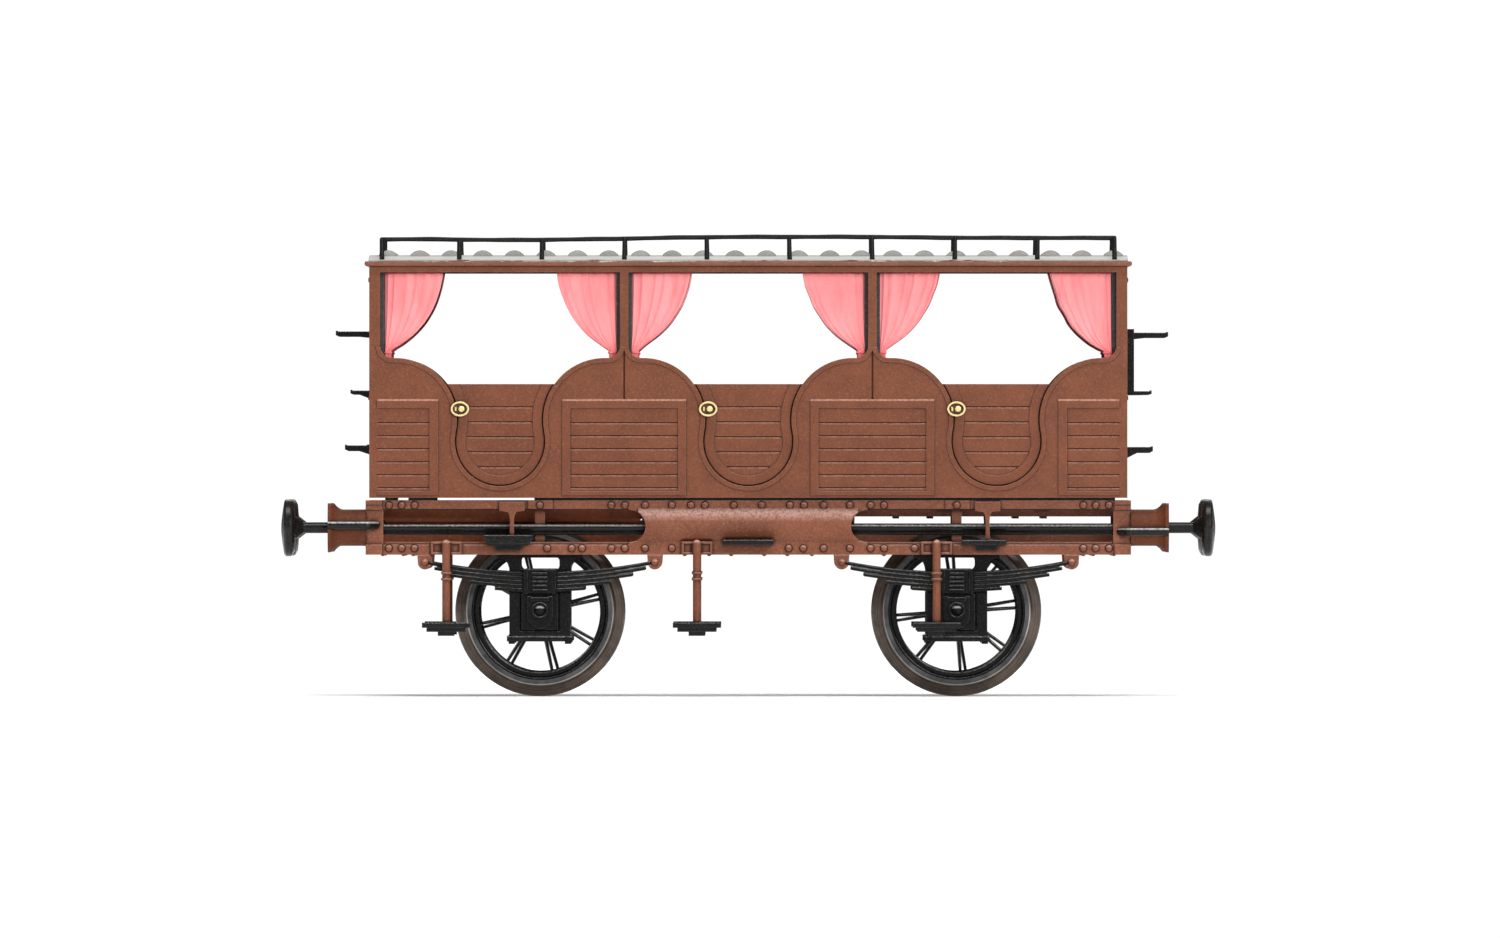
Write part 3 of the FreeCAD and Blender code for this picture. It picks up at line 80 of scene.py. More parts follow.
class Finish:
    """One procedural material. Sizes are given in millimetres on the object."""

    def __init__(self, name):
        self.mat = bpy.data.materials.new(name)
        self.mat.use_nodes = True
        self.tree = self.mat.node_tree
        self.shader = self.tree.nodes["Principled BSDF"]
        self.place = self.add("ShaderNodeTexCoord").outputs["Object"]
        self.normal = self.rounded = None

    def add(self, kind, **props):
        node = self.tree.nodes.new(kind)
        for key, value in props.items():
            setattr(node, key, value)
        return node

    def put(self, socket, value):
        if hasattr(value, "is_output"):
            self.tree.links.new(value, socket)
        else:
            socket.default_value = value

    def math(self, op, a, b=0.0, c=0.0):
        node = self.add("ShaderNodeMath", operation=op)
        for k, v in enumerate((a, b, c)):
            self.put(node.inputs[k], v)
        return node.outputs[0]

    def times(self, a, b):
        return self.math("MULTIPLY", a, b)

    def axis(self, name):
        node = self.add("ShaderNodeSeparateXYZ")
        self.put(node.inputs[0], self.place)
        return node.outputs[name]

    def noise(self, size, detail=3.0, rough=0.55, stretch=None, seed=0.0):
        """Noise of about that grain size in mm, from 0 to 1.
        stretch makes the grain longer along an axis."""
        where = self.add("ShaderNodeMapping")
        self.put(where.inputs["Vector"], self.place)
        where.inputs["Scale"].default_value = [1 / (k * size * MM) for k in stretch or (1, 1, 1)]
        where.inputs["Location"].default_value = (seed * 7.3, seed * 3.1, seed * 5.7)
        node = self.add("ShaderNodeTexNoise")
        self.put(node.inputs["Vector"], where.outputs[0])
        node.inputs["Scale"].default_value = 1.0
        node.inputs["Detail"].default_value = detail
        node.inputs["Roughness"].default_value = rough
        return node.outputs["Fac"]

    def cells(self, size):
        """Distance from the middle of pebble cells of about that size in mm."""
        where = self.add("ShaderNodeMapping")
        self.put(where.inputs["Vector"], self.place)
        where.inputs["Scale"].default_value = (1 / (size * MM),) * 3
        node = self.add("ShaderNodeTexVoronoi")
        self.put(node.inputs["Vector"], where.outputs[0])
        node.inputs["Scale"].default_value = 1.0
        return node.outputs["Distance"]

    def span(self, value, low, high, to_low=0.0, to_high=1.0, smooth=False):
        """Value taken from the range low..high to the range to_low..to_high, and clamped there."""
        node = self.add("ShaderNodeMapRange", clamp=True)
        if smooth:
            node.interpolation_type = "SMOOTHSTEP"
        sockets = ("Value", "From Min", "From Max", "To Min", "To Max")
        for key, v in zip(sockets, (value, low, high, to_low, to_high)):
            self.put(node.inputs[key], v)
        return node.outputs["Result"]

    def mix(self, fac, a, b):
        node = self.add("ShaderNodeMix", data_type="RGBA")
        self.put(node.inputs["Factor"], fac)
        self.put(node.inputs[6], a)
        self.put(node.inputs[7], b)
        return node.outputs[2]

    def edges(self, radius):
        """Mask of the hard edges, within that radius in mm, and the rounded normal there."""
        bevel = self.add("ShaderNodeBevel", samples=4)
        bevel.inputs["Radius"].default_value = radius * MM
        geometry = self.add("ShaderNodeNewGeometry")
        dot = self.add("ShaderNodeVectorMath", operation="DOT_PRODUCT")
        self.put(dot.inputs[0], bevel.outputs[0])
        self.put(dot.inputs[1], geometry.outputs["Normal"])
        self.normal = self.rounded = bevel.outputs[0]
        self.turn = dot.outputs["Value"]
        return self.span(self.turn, 0.99, 0.80)

    def seams(self, distance):
        """Mask of the inner corners where two surfaces meet. It needs edges() first."""
        turned = self.span(self.turn, 0.9985, 0.965)
        return self.times(turned, self.hollows(distance, 0.985, 0.87))

    def facing_up(self, low, high):
        """Mask of the surfaces and rounded edges that look upwards, such as the lower lip of a
        groove. It needs edges() first. With low above high, it fades as they look up more."""
        parts = self.add("ShaderNodeSeparateXYZ")
        self.put(parts.inputs[0], self.rounded)
        return self.span(parts.outputs["Z"], low, high)

    def hollows(self, distance, light=0.85, deep=0.35):
        """Mask of corners and grooves, within that distance in mm."""
        node = self.add("ShaderNodeAmbientOcclusion", samples=4)
        node.inputs["Distance"].default_value = distance * MM
        return self.span(node.outputs["AO"], light, deep)

    def bump(self, height, depth, strength=1.0):
        node = self.add("ShaderNodeBump")
        node.inputs["Strength"].default_value = strength
        node.inputs["Distance"].default_value = depth * MM
        self.put(node.inputs["Height"], height)
        if self.normal is not None:
            self.put(node.inputs["Normal"], self.normal)
        self.normal = node.outputs[0]

    def close(self, colour, roughness, metallic=0.0, specular=0.5):
        self.put(self.shader.inputs["Base Color"], colour)
        self.put(self.shader.inputs["Roughness"], roughness)
        self.put(self.shader.inputs["Metallic"], metallic)
        self.shader.inputs["Specular IOR Level"].default_value = specular
        if self.normal is not None:
            self.put(self.shader.inputs["Normal"], self.normal)
        return self.mat


def paint(name, base, dark, light, rough=0.42, edge=None, painted_shade=None, grain=0.16, depth=0.006,
          specular=0.20, vary=0.5, edge_r=0.07, top=None, reach=0.45, lip_highlight=None, ring=(0.85, 0.35),
          up=(0.25, 0.75), over=None):
    """Satin model paint: fine speckle, soft patches, lighter edges that are partly rubbed wear and
    partly a painted highlight, painted shade in the hollows and under things, and a painted
    highlight on the lips that look upwards.

    edge, painted_shade and lip_highlight are (colour, strength): lighter edges that are partly
    rubbed wear and partly a painted highlight, painted shade in the corners and under things,
    and a painted highlight on the lips that look upwards. up and over are the facing_up() ranges
    of those lips, ring is the hollows() range within reach, and top(f, colour) paints the larger
    marks of one surface.
    """
    f = Finish(name)
    rubbed = f.edges(edge_r)
    seam = f.seams(0.25)
    ridge = f.math("SUBTRACT", 1.0, seam)
    fine = f.noise(grain, 2.0, 0.6)
    soft = f.noise(3.2, 3.0, 0.6, seed=2.0)
    colour = f.mix(f.span(soft, 0.36, 0.64), base, f.mix(0.35, base, dark))
    speck = f.span(f.noise(0.11, 1.0, 0.5, seed=5.0), 0.62, 0.80)
    colour = f.mix(f.times(f.span(fine, 0.55, 0.80), vary), colour, light)
    colour = f.mix(f.times(f.span(fine, 0.45, 0.22), vary), colour, dark)
    colour = f.mix(f.times(speck, 0.30), colour, light)
    if top is not None:
        colour = top(f, colour)
    # painted shade: darker in the corners, and on the faces that look down under things
    if painted_shade is not None:
        below = f.times(f.hollows(reach, *ring), f.facing_up(0.25, -0.05))
        colour = f.mix(f.times(below, painted_shade[1]), colour, painted_shade[0])
        colour = f.mix(f.times(seam, painted_shade[1]), colour, painted_shade[0])
    # painted highlight: lighter lips and edges that look upwards, as if lit from above, broken
    # into flecks
    if lip_highlight is not None:
        lit = f.times(f.facing_up(*up), ridge)
        if over is not None:
            lit = f.times(lit, f.facing_up(*over))
            flecks = f.noise(0.22, 2.0, 0.7, seed=15.0)
            lit = f.times(lit, f.span(flecks, 0.38, 0.58, 0.35, 1.0))
        colour = f.mix(f.times(lit, lip_highlight[1]), colour, lip_highlight[0])
    # lighter edges: partly rubbed wear, partly a painted edge highlight
    if edge is not None:
        wear = f.noise(0.5, 3.0, 0.7, seed=9.0)
        worn_and_lit = f.times(f.times(rubbed, f.span(wear, 0.40, 0.62, 0.25, 1.0)), ridge)
        colour = f.mix(f.times(worn_and_lit, edge[1]), colour, edge[0])
    f.bump(fine, depth)
    f.bump(soft, 0.02, 0.5)
    sheen = f.span(fine, 0.25, 0.75, rough - 0.07, rough + 0.10)
    return f.close(colour, sheen, 0.0, specular)


# heights on the roof and cornice, in mm
SLOPE_TOP, SLOPE_FADE = 36.05, 35.95
RIB_FOOT, RIB_SIDE = 36.10, 36.20
BRUSH_EDGE, BRUSH_FADE = 35.56, 35.50
CHIP_LINE = 35.54
LAP_FOOT, LAP_FADE = 35.55, 35.60


def roof_top(f, colour):
    """Grey paint brushed over brown: the lower slope is paler, painted shade lines the ribs'
    sides, and brown shows along the ragged lower edge."""
    z = f.axis("Z")
    ragged = f.noise(1.5, 4.0, 0.75, stretch=(2.6, 1.0, 0.5), seed=3.0)
    line = f.math("SUBTRACT", z, f.times(f.math("SUBTRACT", ragged, 0.50), 1.5 * MM))
    slope = f.span(z, SLOPE_TOP * MM, SLOPE_FADE * MM)
    colour = f.mix(f.times(slope, 0.28), colour, rgb(232, 230, 226))
    # painted shade: a dark line along the sloping sides of the ribs
    outline = f.times(f.facing_up(0.12, 0.45), f.facing_up(0.88, 0.72))
    outline = f.times(outline, f.span(z, RIB_FOOT * MM, RIB_SIDE * MM))
    colour = f.mix(f.times(outline, 0.85), colour, rgb(84, 83, 80))
    colour = f.mix(f.span(line, BRUSH_EDGE * MM, BRUSH_FADE * MM), colour, rgb(112, 68, 52))
    chip = f.span(f.noise(0.30, 3.0, 0.8, stretch=(2.0, 1, 1), seed=4.0), 0.58, 0.64)
    off_line = f.math("ABSOLUTE", f.math("SUBTRACT", line, CHIP_LINE * MM))
    near_line = f.span(off_line, 0.16 * MM, 0.04 * MM)
    colour = f.mix(f.times(chip, near_line), colour, rgb(244, 236, 228))
    spot = f.span(f.noise(0.22, 2.0, 0.7, stretch=(2.0, 1, 1), seed=12.0), 0.66, 0.72)
    return f.mix(f.times(spot, f.times(slope, 0.8)), colour, rgb(104, 96, 90))


def cornice_top(f, colour):
    """The grey of the roof laps over the top of the moulding in places."""
    z = f.axis("Z")
    ragged = f.noise(1.3, 4.0, 0.75, stretch=(2.5, 1.0, 1.0), seed=6.0)
    line = f.math("ADD", z, f.times(f.math("SUBTRACT", ragged, 0.60), 0.55 * MM))
    return f.mix(f.span(line, LAP_FOOT * MM, LAP_FADE * MM), colour, rgb(212, 199, 190))


def metal(name, base, dark, rough, edge=None, brushed=None):
    """Plated or bare metal with fine brushing, tarnish and brighter edges."""
    f = Finish(name)
    rubbed = f.edges(0.05)
    fine = f.noise(0.12, 3.0, 0.6, stretch=brushed)
    soft = f.noise(1.4, 3.0, 0.65, seed=3.0)
    colour = f.mix(f.span(soft, 0.38, 0.66), base, f.mix(0.5, base, dark))
    colour = f.mix(f.times(f.span(fine, 0.48, 0.25), 0.5), colour, dark)
    colour = f.mix(f.times(f.hollows(0.25), 0.7), colour, dark)
    if edge is not None:
        colour = f.mix(f.times(rubbed, 0.6), colour, edge)
    f.bump(fine, 0.003)
    return f.close(colour, f.span(fine, 0.3, 0.7, rough - 0.07, rough + 0.12), 1.0)


def wheel_radius(f, axle_x, axle_z):
    """Distance from the axle nearest to each point, in metres."""
    x = f.math("SUBTRACT", f.math("ABSOLUTE", f.axis("X")), axle_x)
    z = f.math("SUBTRACT", f.axis("Z"), axle_z)
    return f.math("SQRT", f.math("ADD", f.times(x, x), f.times(z, z)))


def rings(f, distance, per_metre):
    """Fine lathe lines that follow a distance in metres."""
    node = f.add("ShaderNodeTexNoise", noise_dimensions="1D")
    f.put(node.inputs["W"], f.times(distance, per_metre))
    node.inputs["Scale"].default_value = 1.0
    node.inputs["Detail"].default_value = 2.0
    return node.outputs["Fac"]


TREAD_R, TREAD_FADE = 6.02, 6.07
CORNER_R = (5.93, 5.97, 6.01, 6.05)


def tyre_finish(axle_x, axle_z):
    """Chemically darkened turned tyre: dark face, a bright corner that is partly wear and partly a
    painted highlight, bronze tint on the tread and flange."""
    f = Finish("tyre_metal_turned")
    f.edges(0.05)
    r = wheel_radius(f, axle_x, axle_z)
    face_lines = rings(f, r, 14000.0)
    tread_lines = rings(f, f.math("ABSOLUTE", f.axis("Y")), 12000.0)
    lathe = f.math("ADD", f.times(face_lines, 0.6), f.times(tread_lines, 0.4))
    soft = f.noise(2.2, 4.0, 0.65, seed=1.0)
    face = f.mix(f.span(soft, 0.35, 0.65), rgb(40, 41, 43), rgb(82, 84, 86))
    tread = f.mix(f.span(soft, 0.35, 0.62), rgb(68, 58, 51), rgb(100, 86, 76))
    colour = f.mix(f.span(r, TREAD_R * MM, TREAD_FADE * MM), face, tread)
    start, full, last, end = (k * MM for k in CORNER_R)
    # bright corner ring: partly worn metal, partly a painted highlight
    corner = f.times(f.span(r, start, full), f.span(r, end, last))
    worn_and_lit = f.times(corner, f.span(soft, 0.30, 0.60, 0.5, 1.0))
    colour = f.mix(worn_and_lit, colour, rgb(196, 186, 176))
    colour = f.mix(f.times(f.span(lathe, 0.52, 0.30), 0.65), colour, rgb(22, 20, 19))
    f.bump(lathe, 0.004)
    f.bump(f.noise(0.3, 2.0), 0.002)
    return f.close(colour, f.span(lathe, 0.3, 0.7, 0.26, 0.42), 0.45)


THREAD = 0.13
# heights of the painted shadow along the top of the cloth, in mm
HEAD_SHADOW_FOOT, HEAD_SHADOW_FADE = 34.55, 34.68


def cloth_finish(name, base, shade, glow):
    """Fine woven cloth: threads both ways, soft patches, painted shade in the folds, a painted
    shadow along the head and a little sheen.
    """
    f = Finish(name)
    x = f.math("SINE", f.times(f.axis("X"), 2 * math.pi / (THREAD * MM)))
    z = f.math("SINE", f.times(f.axis("Z"), 2 * math.pi / (THREAD * MM)))
    threads = f.math("MULTIPLY_ADD", f.times(x, z), 0.5, 0.5)
    fibre = f.noise(0.10, 3.0, 0.6)
    soft = f.noise(1.8, 3.0, 0.6, stretch=(0.5, 1, 2.5), seed=4.0)
    colour = f.mix(f.span(soft, 0.35, 0.66), base, f.mix(0.45, base, shade))
    colour = f.mix(f.times(threads, 0.14), colour, shade)
    colour = f.mix(f.times(f.span(fibre, 0.55, 0.78), 0.35), colour, glow)
    # painted shade in the folds and hollows of the cloth
    colour = f.mix(f.times(f.hollows(0.5), 0.20), colour, shade)
    # painted shadow: a dark red line along the top of the cloth, under the body's top rail
    head = f.math("ADD", f.axis("Z"), f.times(f.noise(0.5, 2.0, seed=8.0), 0.08 * MM))
    colour = f.mix(f.span(head, HEAD_SHADOW_FOOT * MM, HEAD_SHADOW_FADE * MM), colour, rgb(120, 28, 34))
    f.bump(f.math("ADD", f.times(threads, 0.7), fibre), 0.008)
    f.shader.inputs["Sheen Weight"].default_value = 0.25
    f.shader.inputs["Sheen Roughness"].default_value = 0.6
    f.shader.inputs["Sheen Tint"].default_value = (1.0, 0.62, 0.62, 1.0)
    return f.close(colour, f.span(fibre, 0.3, 0.7, 0.72, 0.90), 0.0, 0.15)


def leather_finish(name, base, dark, light):
    """Seat leather with a pebbled grain, lighter patches and painted shade in the channels."""
    f = Finish(name)
    grain = f.cells(0.22)
    soft = f.noise(2.5, 3.0, 0.6, seed=2.0)
    colour = f.mix(f.span(soft, 0.35, 0.65), base, f.mix(0.5, base, light))
    colour = f.mix(f.times(f.span(grain, 0.25, 0.05), 0.5), colour, dark)
    # painted shade in the sewn channels and hollows
    colour = f.mix(f.times(f.hollows(0.8), 0.85), colour, dark)
    f.bump(grain, 0.012)
    f.bump(f.noise(0.6, 3.0, seed=7.0), 0.01)
    return f.close(colour, f.span(grain, 0.1, 0.5, 0.50, 0.34), 0.0, 0.45)


LATCH_FACE, LATCH_SUNK = 13.36, 13.20


def latch_finish():
    """Polished brass latch: bright rim and knob, and painted shade on the faces that look down and
    in the sunk middle.
    """
    f = Finish("latch_brass")
    f.edges(0.06)
    fine = f.noise(0.10, 3.0, 0.6)
    height = f.math("ABSOLUTE", f.axis("Y"))
    colour = f.mix(f.span(fine, 0.35, 0.65), rgb(250, 232, 178), rgb(228, 200, 136))
    # painted shade: a darker brown on the faces that look down
    colour = f.mix(f.times(f.facing_up(0.2, -0.5), 0.55), colour, rgb(150, 108, 52))
    # painted shade: darker the deeper the face is sunk
    sunk = f.span(height, LATCH_FACE * MM, LATCH_SUNK * MM)
    recess_shade = f.mix(f.span(fine, 0.4, 0.7), rgb(58, 42, 18), rgb(112, 86, 40))
    colour = f.mix(sunk, colour, recess_shade)
    f.bump(fine, 0.004)
    return f.close(colour, f.span(fine, 0.3, 0.7, 0.22, 0.36), 0.35)


BROWN = rgb(114, 65, 43)
BROWN_DARK = rgb(80, 42, 28)
BROWN_LIGHT = rgb(150, 100, 78)
# lighter edges of the brown paint: partly wear, partly a painted highlight
EDGE_WEAR_AND_HIGHLIGHT = (rgb(178, 132, 112), 0.60)
# painted shade in the grooves, corners and under things
GROOVE_SHADE = (rgb(46, 22, 15), 0.85)
# painted highlights on the lips that look upwards, for brown and for black paint
LEDGE_HIGHLIGHT = (rgb(206, 160, 140), 0.75)
LIT_BLACK = (rgb(186, 184, 182), 0.80)
# facing_up() ranges: lips of black pieces, and the end of the lit lines (FLAT_END never fades)
LIP = (0.30, 0.48)
LIP_END = (0.85, 0.65)
FLAT_END = (1.4, 1.2)
BLACK = rgb(17, 16, 16)
BLACK_DARK = rgb(6, 5, 5)
BLACK_LIGHT = rgb(60, 58, 58)
# lighter edges of the black paint: partly wear, partly a painted highlight
BLACK_EDGE_WEAR_AND_HIGHLIGHT = (rgb(104, 102, 100), 0.45)

axle_low, axle_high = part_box("axle_right")
AXLE_X = (axle_low.x + axle_high.x) / 2
AXLE_Z = (axle_low.z + axle_high.z) / 2

# in each paint the edge colour is partly wear and partly a painted highlight, the colour after it
# is painted shade in the hollows, and the lip colours are painted highlights
FINISHES = {
    "coach_brown": paint(
        "coach_brown_paint", BROWN, BROWN_DARK, BROWN_LIGHT, 0.42, EDGE_WEAR_AND_HIGHLIGHT, GROOVE_SHADE,
        reach=0.30, lip_highlight=LEDGE_HIGHLIGHT, edge_r=0.09, up=(0.30, 0.66), over=FLAT_END),
    "cornice_brown": paint(
        "cornice_brown_paint", rgb(120, 76, 58), BROWN_DARK, rgb(156, 112, 92), 0.38,
        EDGE_WEAR_AND_HIGHLIGHT, GROOVE_SHADE, top=cornice_top),
    "frame_brown": paint(
        "frame_brown_paint", rgb(128, 76, 54), BROWN_DARK, rgb(166, 114, 93), 0.36,
        (rgb(196, 152, 134), 0.50), GROOVE_SHADE, edge_r=0.16, reach=0.30, vary=0.6,
        lip_highlight=(rgb(196, 158, 146), 0.75), ring=(0.95, 0.65), up=(0.14, 0.46), over=FLAT_END),
    "housing_brown": paint(
        "housing_brown_paint", rgb(98, 55, 36), rgb(48, 23, 15), rgb(132, 86, 66), 0.48,
        (rgb(130, 86, 70), 0.30), GROOVE_SHADE, specular=0.06),
    # dark seam brown; the rings under the rivet heads use it as a painted shadow
    "seam_brown": paint(
        "seam_shade_paint", rgb(66, 32, 20), rgb(40, 18, 12), rgb(96, 52, 36), 0.55,
        None, GROOVE_SHADE),
    "ballast_iron": paint(
        "ballast_paint", rgb(134, 72, 44), rgb(74, 38, 24), rgb(182, 108, 68), 0.60,
        None, GROOVE_SHADE, grain=0.3, depth=0.02),
    "floor_brown": paint(
        "floor_paint", rgb(96, 62, 48), rgb(60, 36, 28), rgb(126, 88, 70), 0.60,
        None, GROOVE_SHADE),
    "interior_grey": paint(
        "interior_paint", rgb(70, 66, 66), rgb(36, 33, 34), rgb(128, 122, 120), 0.55,
        (rgb(140, 134, 130), 0.30), (rgb(16, 14, 14), 0.7)),
    "roof_grey": paint(
        "roof_paint", rgb(176, 174, 170), rgb(134, 132, 128), rgb(208, 204, 198), 0.60,
        None, (rgb(110, 106, 102), 0.60), vary=0.6, top=roof_top, edge_r=0.13),
    "rail_black": paint(
        "rail_paint", BLACK, BLACK_DARK, BLACK_LIGHT, 0.36, BLACK_EDGE_WEAR_AND_HIGHLIGHT, edge_r=0.03),
    "satin_black": paint(
        "satin_black_paint", BLACK, BLACK_DARK, BLACK_LIGHT, 0.20, BLACK_EDGE_WEAR_AND_HIGHLIGHT,
        (rgb(4, 4, 4), 0.8), specular=0.24, edge_r=0.13, lip_highlight=LIT_BLACK, vary=0.3,
        up=LIP, over=LIP_END),
    "gear_black": paint(
        "gear_black_plastic", BLACK, BLACK_DARK, rgb(56, 54, 54), 0.24, BLACK_EDGE_WEAR_AND_HIGHLIGHT,
        (rgb(2, 2, 2), 0.9), specular=0.13, edge_r=0.13, lip_highlight=LIT_BLACK, reach=0.35,
        ring=(0.92, 0.50), vary=0.25, up=LIP, over=LIP_END),
    "buffer_black": paint(
        "buffer_black_paint", rgb(22, 21, 20), rgb(8, 8, 8), rgb(72, 70, 68), 0.28,
        (rgb(128, 126, 122), 0.45), (rgb(8, 8, 8), 0.6), vary=0.3),
    "brass": metal(
        "brass_metal", rgb(214, 164, 92), rgb(120, 76, 40), 0.30, edge=rgb(250, 222, 160)),
    "latch_brass": latch_finish(),
    "spring_steel": metal("spring_steel_metal", rgb(176, 176, 180), rgb(110, 108, 108), 0.28),
    "axle_steel": metal(
        "axle_steel_metal", rgb(150, 148, 146), rgb(96, 92, 88), 0.30, brushed=(1, 6, 1)),
    "tyre_metal": tyre_finish(AXLE_X, AXLE_Z),
    "curtain_pink": cloth_finish(
        "curtain_cloth", rgb(250, 156, 158), rgb(234, 116, 122), rgb(255, 184, 182)),
    "tie_pink": cloth_finish(
        "curtain_tie_cloth", rgb(244, 128, 134), rgb(206, 84, 92), rgb(252, 160, 160)),
    # the hem's darker pink is a painted shade line along the curtain's edge
    "hem_pink": cloth_finish(
        "curtain_hem_shade_cloth", rgb(170, 104, 104), rgb(130, 72, 74), rgb(200, 130, 130)),
    "seat_leather": leather_finish(
        "seat_leather_hide", rgb(112, 78, 56), rgb(52, 34, 24), rgb(150, 112, 84)),
}
# nodes whose finish differs from the one their slot names
SPECIAL = {"roof_cornice": "cornice_brown", "door_handles": "latch_brass"}
for node_name, node in NODES.items():
    finish = SPECIAL.get(node_name, node.material_slots[0].material.name)
    if node_name.startswith("buffer_housing"):
        finish = "housing_brown"
    node.material_slots[0].material = FINISHES[finish]


# ---------------------------------------------------------------- mesh helpers

def make(name, verts, faces, material, body="coach", smooth=True):
    """New piece from points in millimetres, with its faces turned outwards."""
    mesh = bpy.data.meshes.new(name)
    mesh.from_pydata([tuple(c * MM for c in v) for v in verts], [], faces)
    shape = bmesh.new()
    shape.from_mesh(mesh)
    bmesh.ops.recalc_face_normals(shape, faces=shape.faces)
    shape.to_mesh(mesh)
    shape.free()
    obj = bpy.data.objects.new(name, mesh)
    bpy.context.scene.collection.objects.link(obj)
    mesh.materials.append(material)
    mesh.polygons.foreach_set("use_smooth", [smooth] * len(mesh.polygons))
    if body:
        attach(obj, body)
    return obj


def grid_faces(rows, cols, wrap=False):
    """Quads between neighbouring points of a grid; wrap joins the last column to the first."""
    faces = []
    for r in range(rows - 1):
        for c in range(cols if wrap else cols - 1):
            d = (c + 1) % cols
            faces.append((r * cols + c, r * cols + d, (r + 1) * cols + d, (r + 1) * cols + c))
    return faces


def bar_faces(rings, sides):
    """Skin of a stack of rings with the same number of points, closed at both ends."""
    last = (rings - 1) * sides
    caps = [tuple(range(sides))[::-1], tuple(range(last, last + sides))]
    return grid_faces(rings, sides, wrap=True) + caps


def sheet_faces(rows, cols):
    """Skin of a thin solid whose points are a front grid followed by a back grid."""
    count = rows * cols
    faces = grid_faces(rows, cols)
    faces += [tuple(count + k for k in f[::-1]) for f in faces]
    for r in range(rows - 1):
        for c in (0, cols - 1):
            a, b = r * cols + c, (r + 1) * cols + c
            side = (a, b, count + b, count + a)
            faces.append(side if c == 0 else (b, a, count + a, count + b))
    for c in range(cols - 1):
        for r in (0, rows - 1):
            a, b = r * cols + c, r * cols + c + 1
            side = (b, a, count + a, count + b)
            faces.append(side if r == 0 else (a, b, count + b, count + a))
    return faces


STEEP = 0.9


def tube(points, radii, sides):
    """Round bar through the points, closed at both ends. radii is one radius or one a point."""
    verts = []
    points = [Vector(p) for p in points]
    for k, p in enumerate(points):
        ahead = points[min(k + 1, len(points) - 1)] - points[max(k - 1, 0)]
        ahead.normalize()
        level = Vector((0, 0, 1)) if abs(ahead.z) < STEEP else Vector((1, 0, 0))
        side = ahead.cross(level).normalized()
        up = side.cross(ahead)
        r = radii[k] if hasattr(radii, "__len__") else radii
        for s in range(sides):
            a = 2 * math.pi * s / sides
            verts.append(tuple(p + side * (r * math.cos(a)) + up * (r * math.sin(a))))
    return verts, bar_faces(len(points), sides)


def joined(parts):
    """One list of points and one of faces from several."""
    verts, faces = [], []
    for v, f in parts:
        base = len(verts)
        verts += v
        faces += [tuple(base + k for k in face) for face in f]
    return verts, faces


def spline(knots, t):
    """Smooth value through the knots (parameter, value) at t."""
    for k in range(len(knots) - 1):
        if t <= knots[k + 1][0] or k == len(knots) - 2:
            break
    p0, p1, p2 = knots[max(k - 1, 0)], knots[k], knots[k + 1]
    p3 = knots[min(k + 2, len(knots) - 1)]
    u = (t - p1[0]) / (p2[0] - p1[0])
    m1 = (p2[1] - p0[1]) / (p2[0] - p0[0])
    m2 = (p3[1] - p1[1]) / (p3[0] - p1[0])
    h = p2[0] - p1[0]
    return ((2 * u ** 3 - 3 * u ** 2 + 1) * p1[1] + (u ** 3 - 2 * u ** 2 + u) * h * m1
            + (-2 * u ** 3 + 3 * u ** 2) * p2[1] + (u ** 3 - u ** 2) * h * m2)


# ---------------------------------------------------------------- curtains

BAYS = (-20.3, 0.0, 20.3)
WALL_REACH, POST_REACH = 9.6, 9.45
CURTAIN_TOP = 35.05
CURTAIN_FOOT = 27.72
CURTAIN_Y = 11.84
CURTAIN_ROWS, CURTAIN_COLS = 64, 84
FULL_WIDTH = 4.7
GATHER_H = 0.30
RIM = 0.12
RIM_HEIGHT = 7.03
CLOTH_HALF_T = 0.11
CLOTH_EDGE_T = 0.02
# inner edge of the cloth: heights, and distances from the middle of the window
EDGE_HEIGHTS = (27.70, 28.26, 28.42, 28.83, 29.57, 30.38, 31.20, 32.02, 32.84, 33.65, 34.47, 35.1)
INNER_EDGES = {
    (0, "left"): (8.90, 8.86, 8.70, 8.04, 7.12, 6.36, 5.80, 5.38, 5.08, 4.86, 4.70, 4.62),
    (0, "right"): (8.92, 8.86, 8.69, 8.09, 7.11, 6.38, 5.81, 5.40, 5.07, 4.82, 4.68, 4.62),
    (1, "left"): (8.98, 8.92, 8.78, 8.30, 7.32, 6.48, 5.89, 5.40, 5.07, 4.82, 4.66, 4.60),
    (1, "right"): (8.95, 8.90, 8.80, 8.18, 7.18, 6.38, 5.81, 5.31, 4.99, 4.66, 4.50, 4.44),
    (2, "left"): (9.08, 9.02, 8.90, 8.34, 7.34, 6.54, 5.97, 5.48, 5.15, 4.84, 4.66, 4.58),
    (2, "right"): (8.80, 8.72, 8.40, 7.69, 6.79, 6.08, 5.64, 5.15, 4.91, 4.66, 4.42, 4.30),
}


def wall_reach(bay_x, hand):
    """Distance from the middle of a bay to the wall on its left (hand -1) or right (hand 1)."""
    return POST_REACH if bay_x * hand > 0 else WALL_REACH


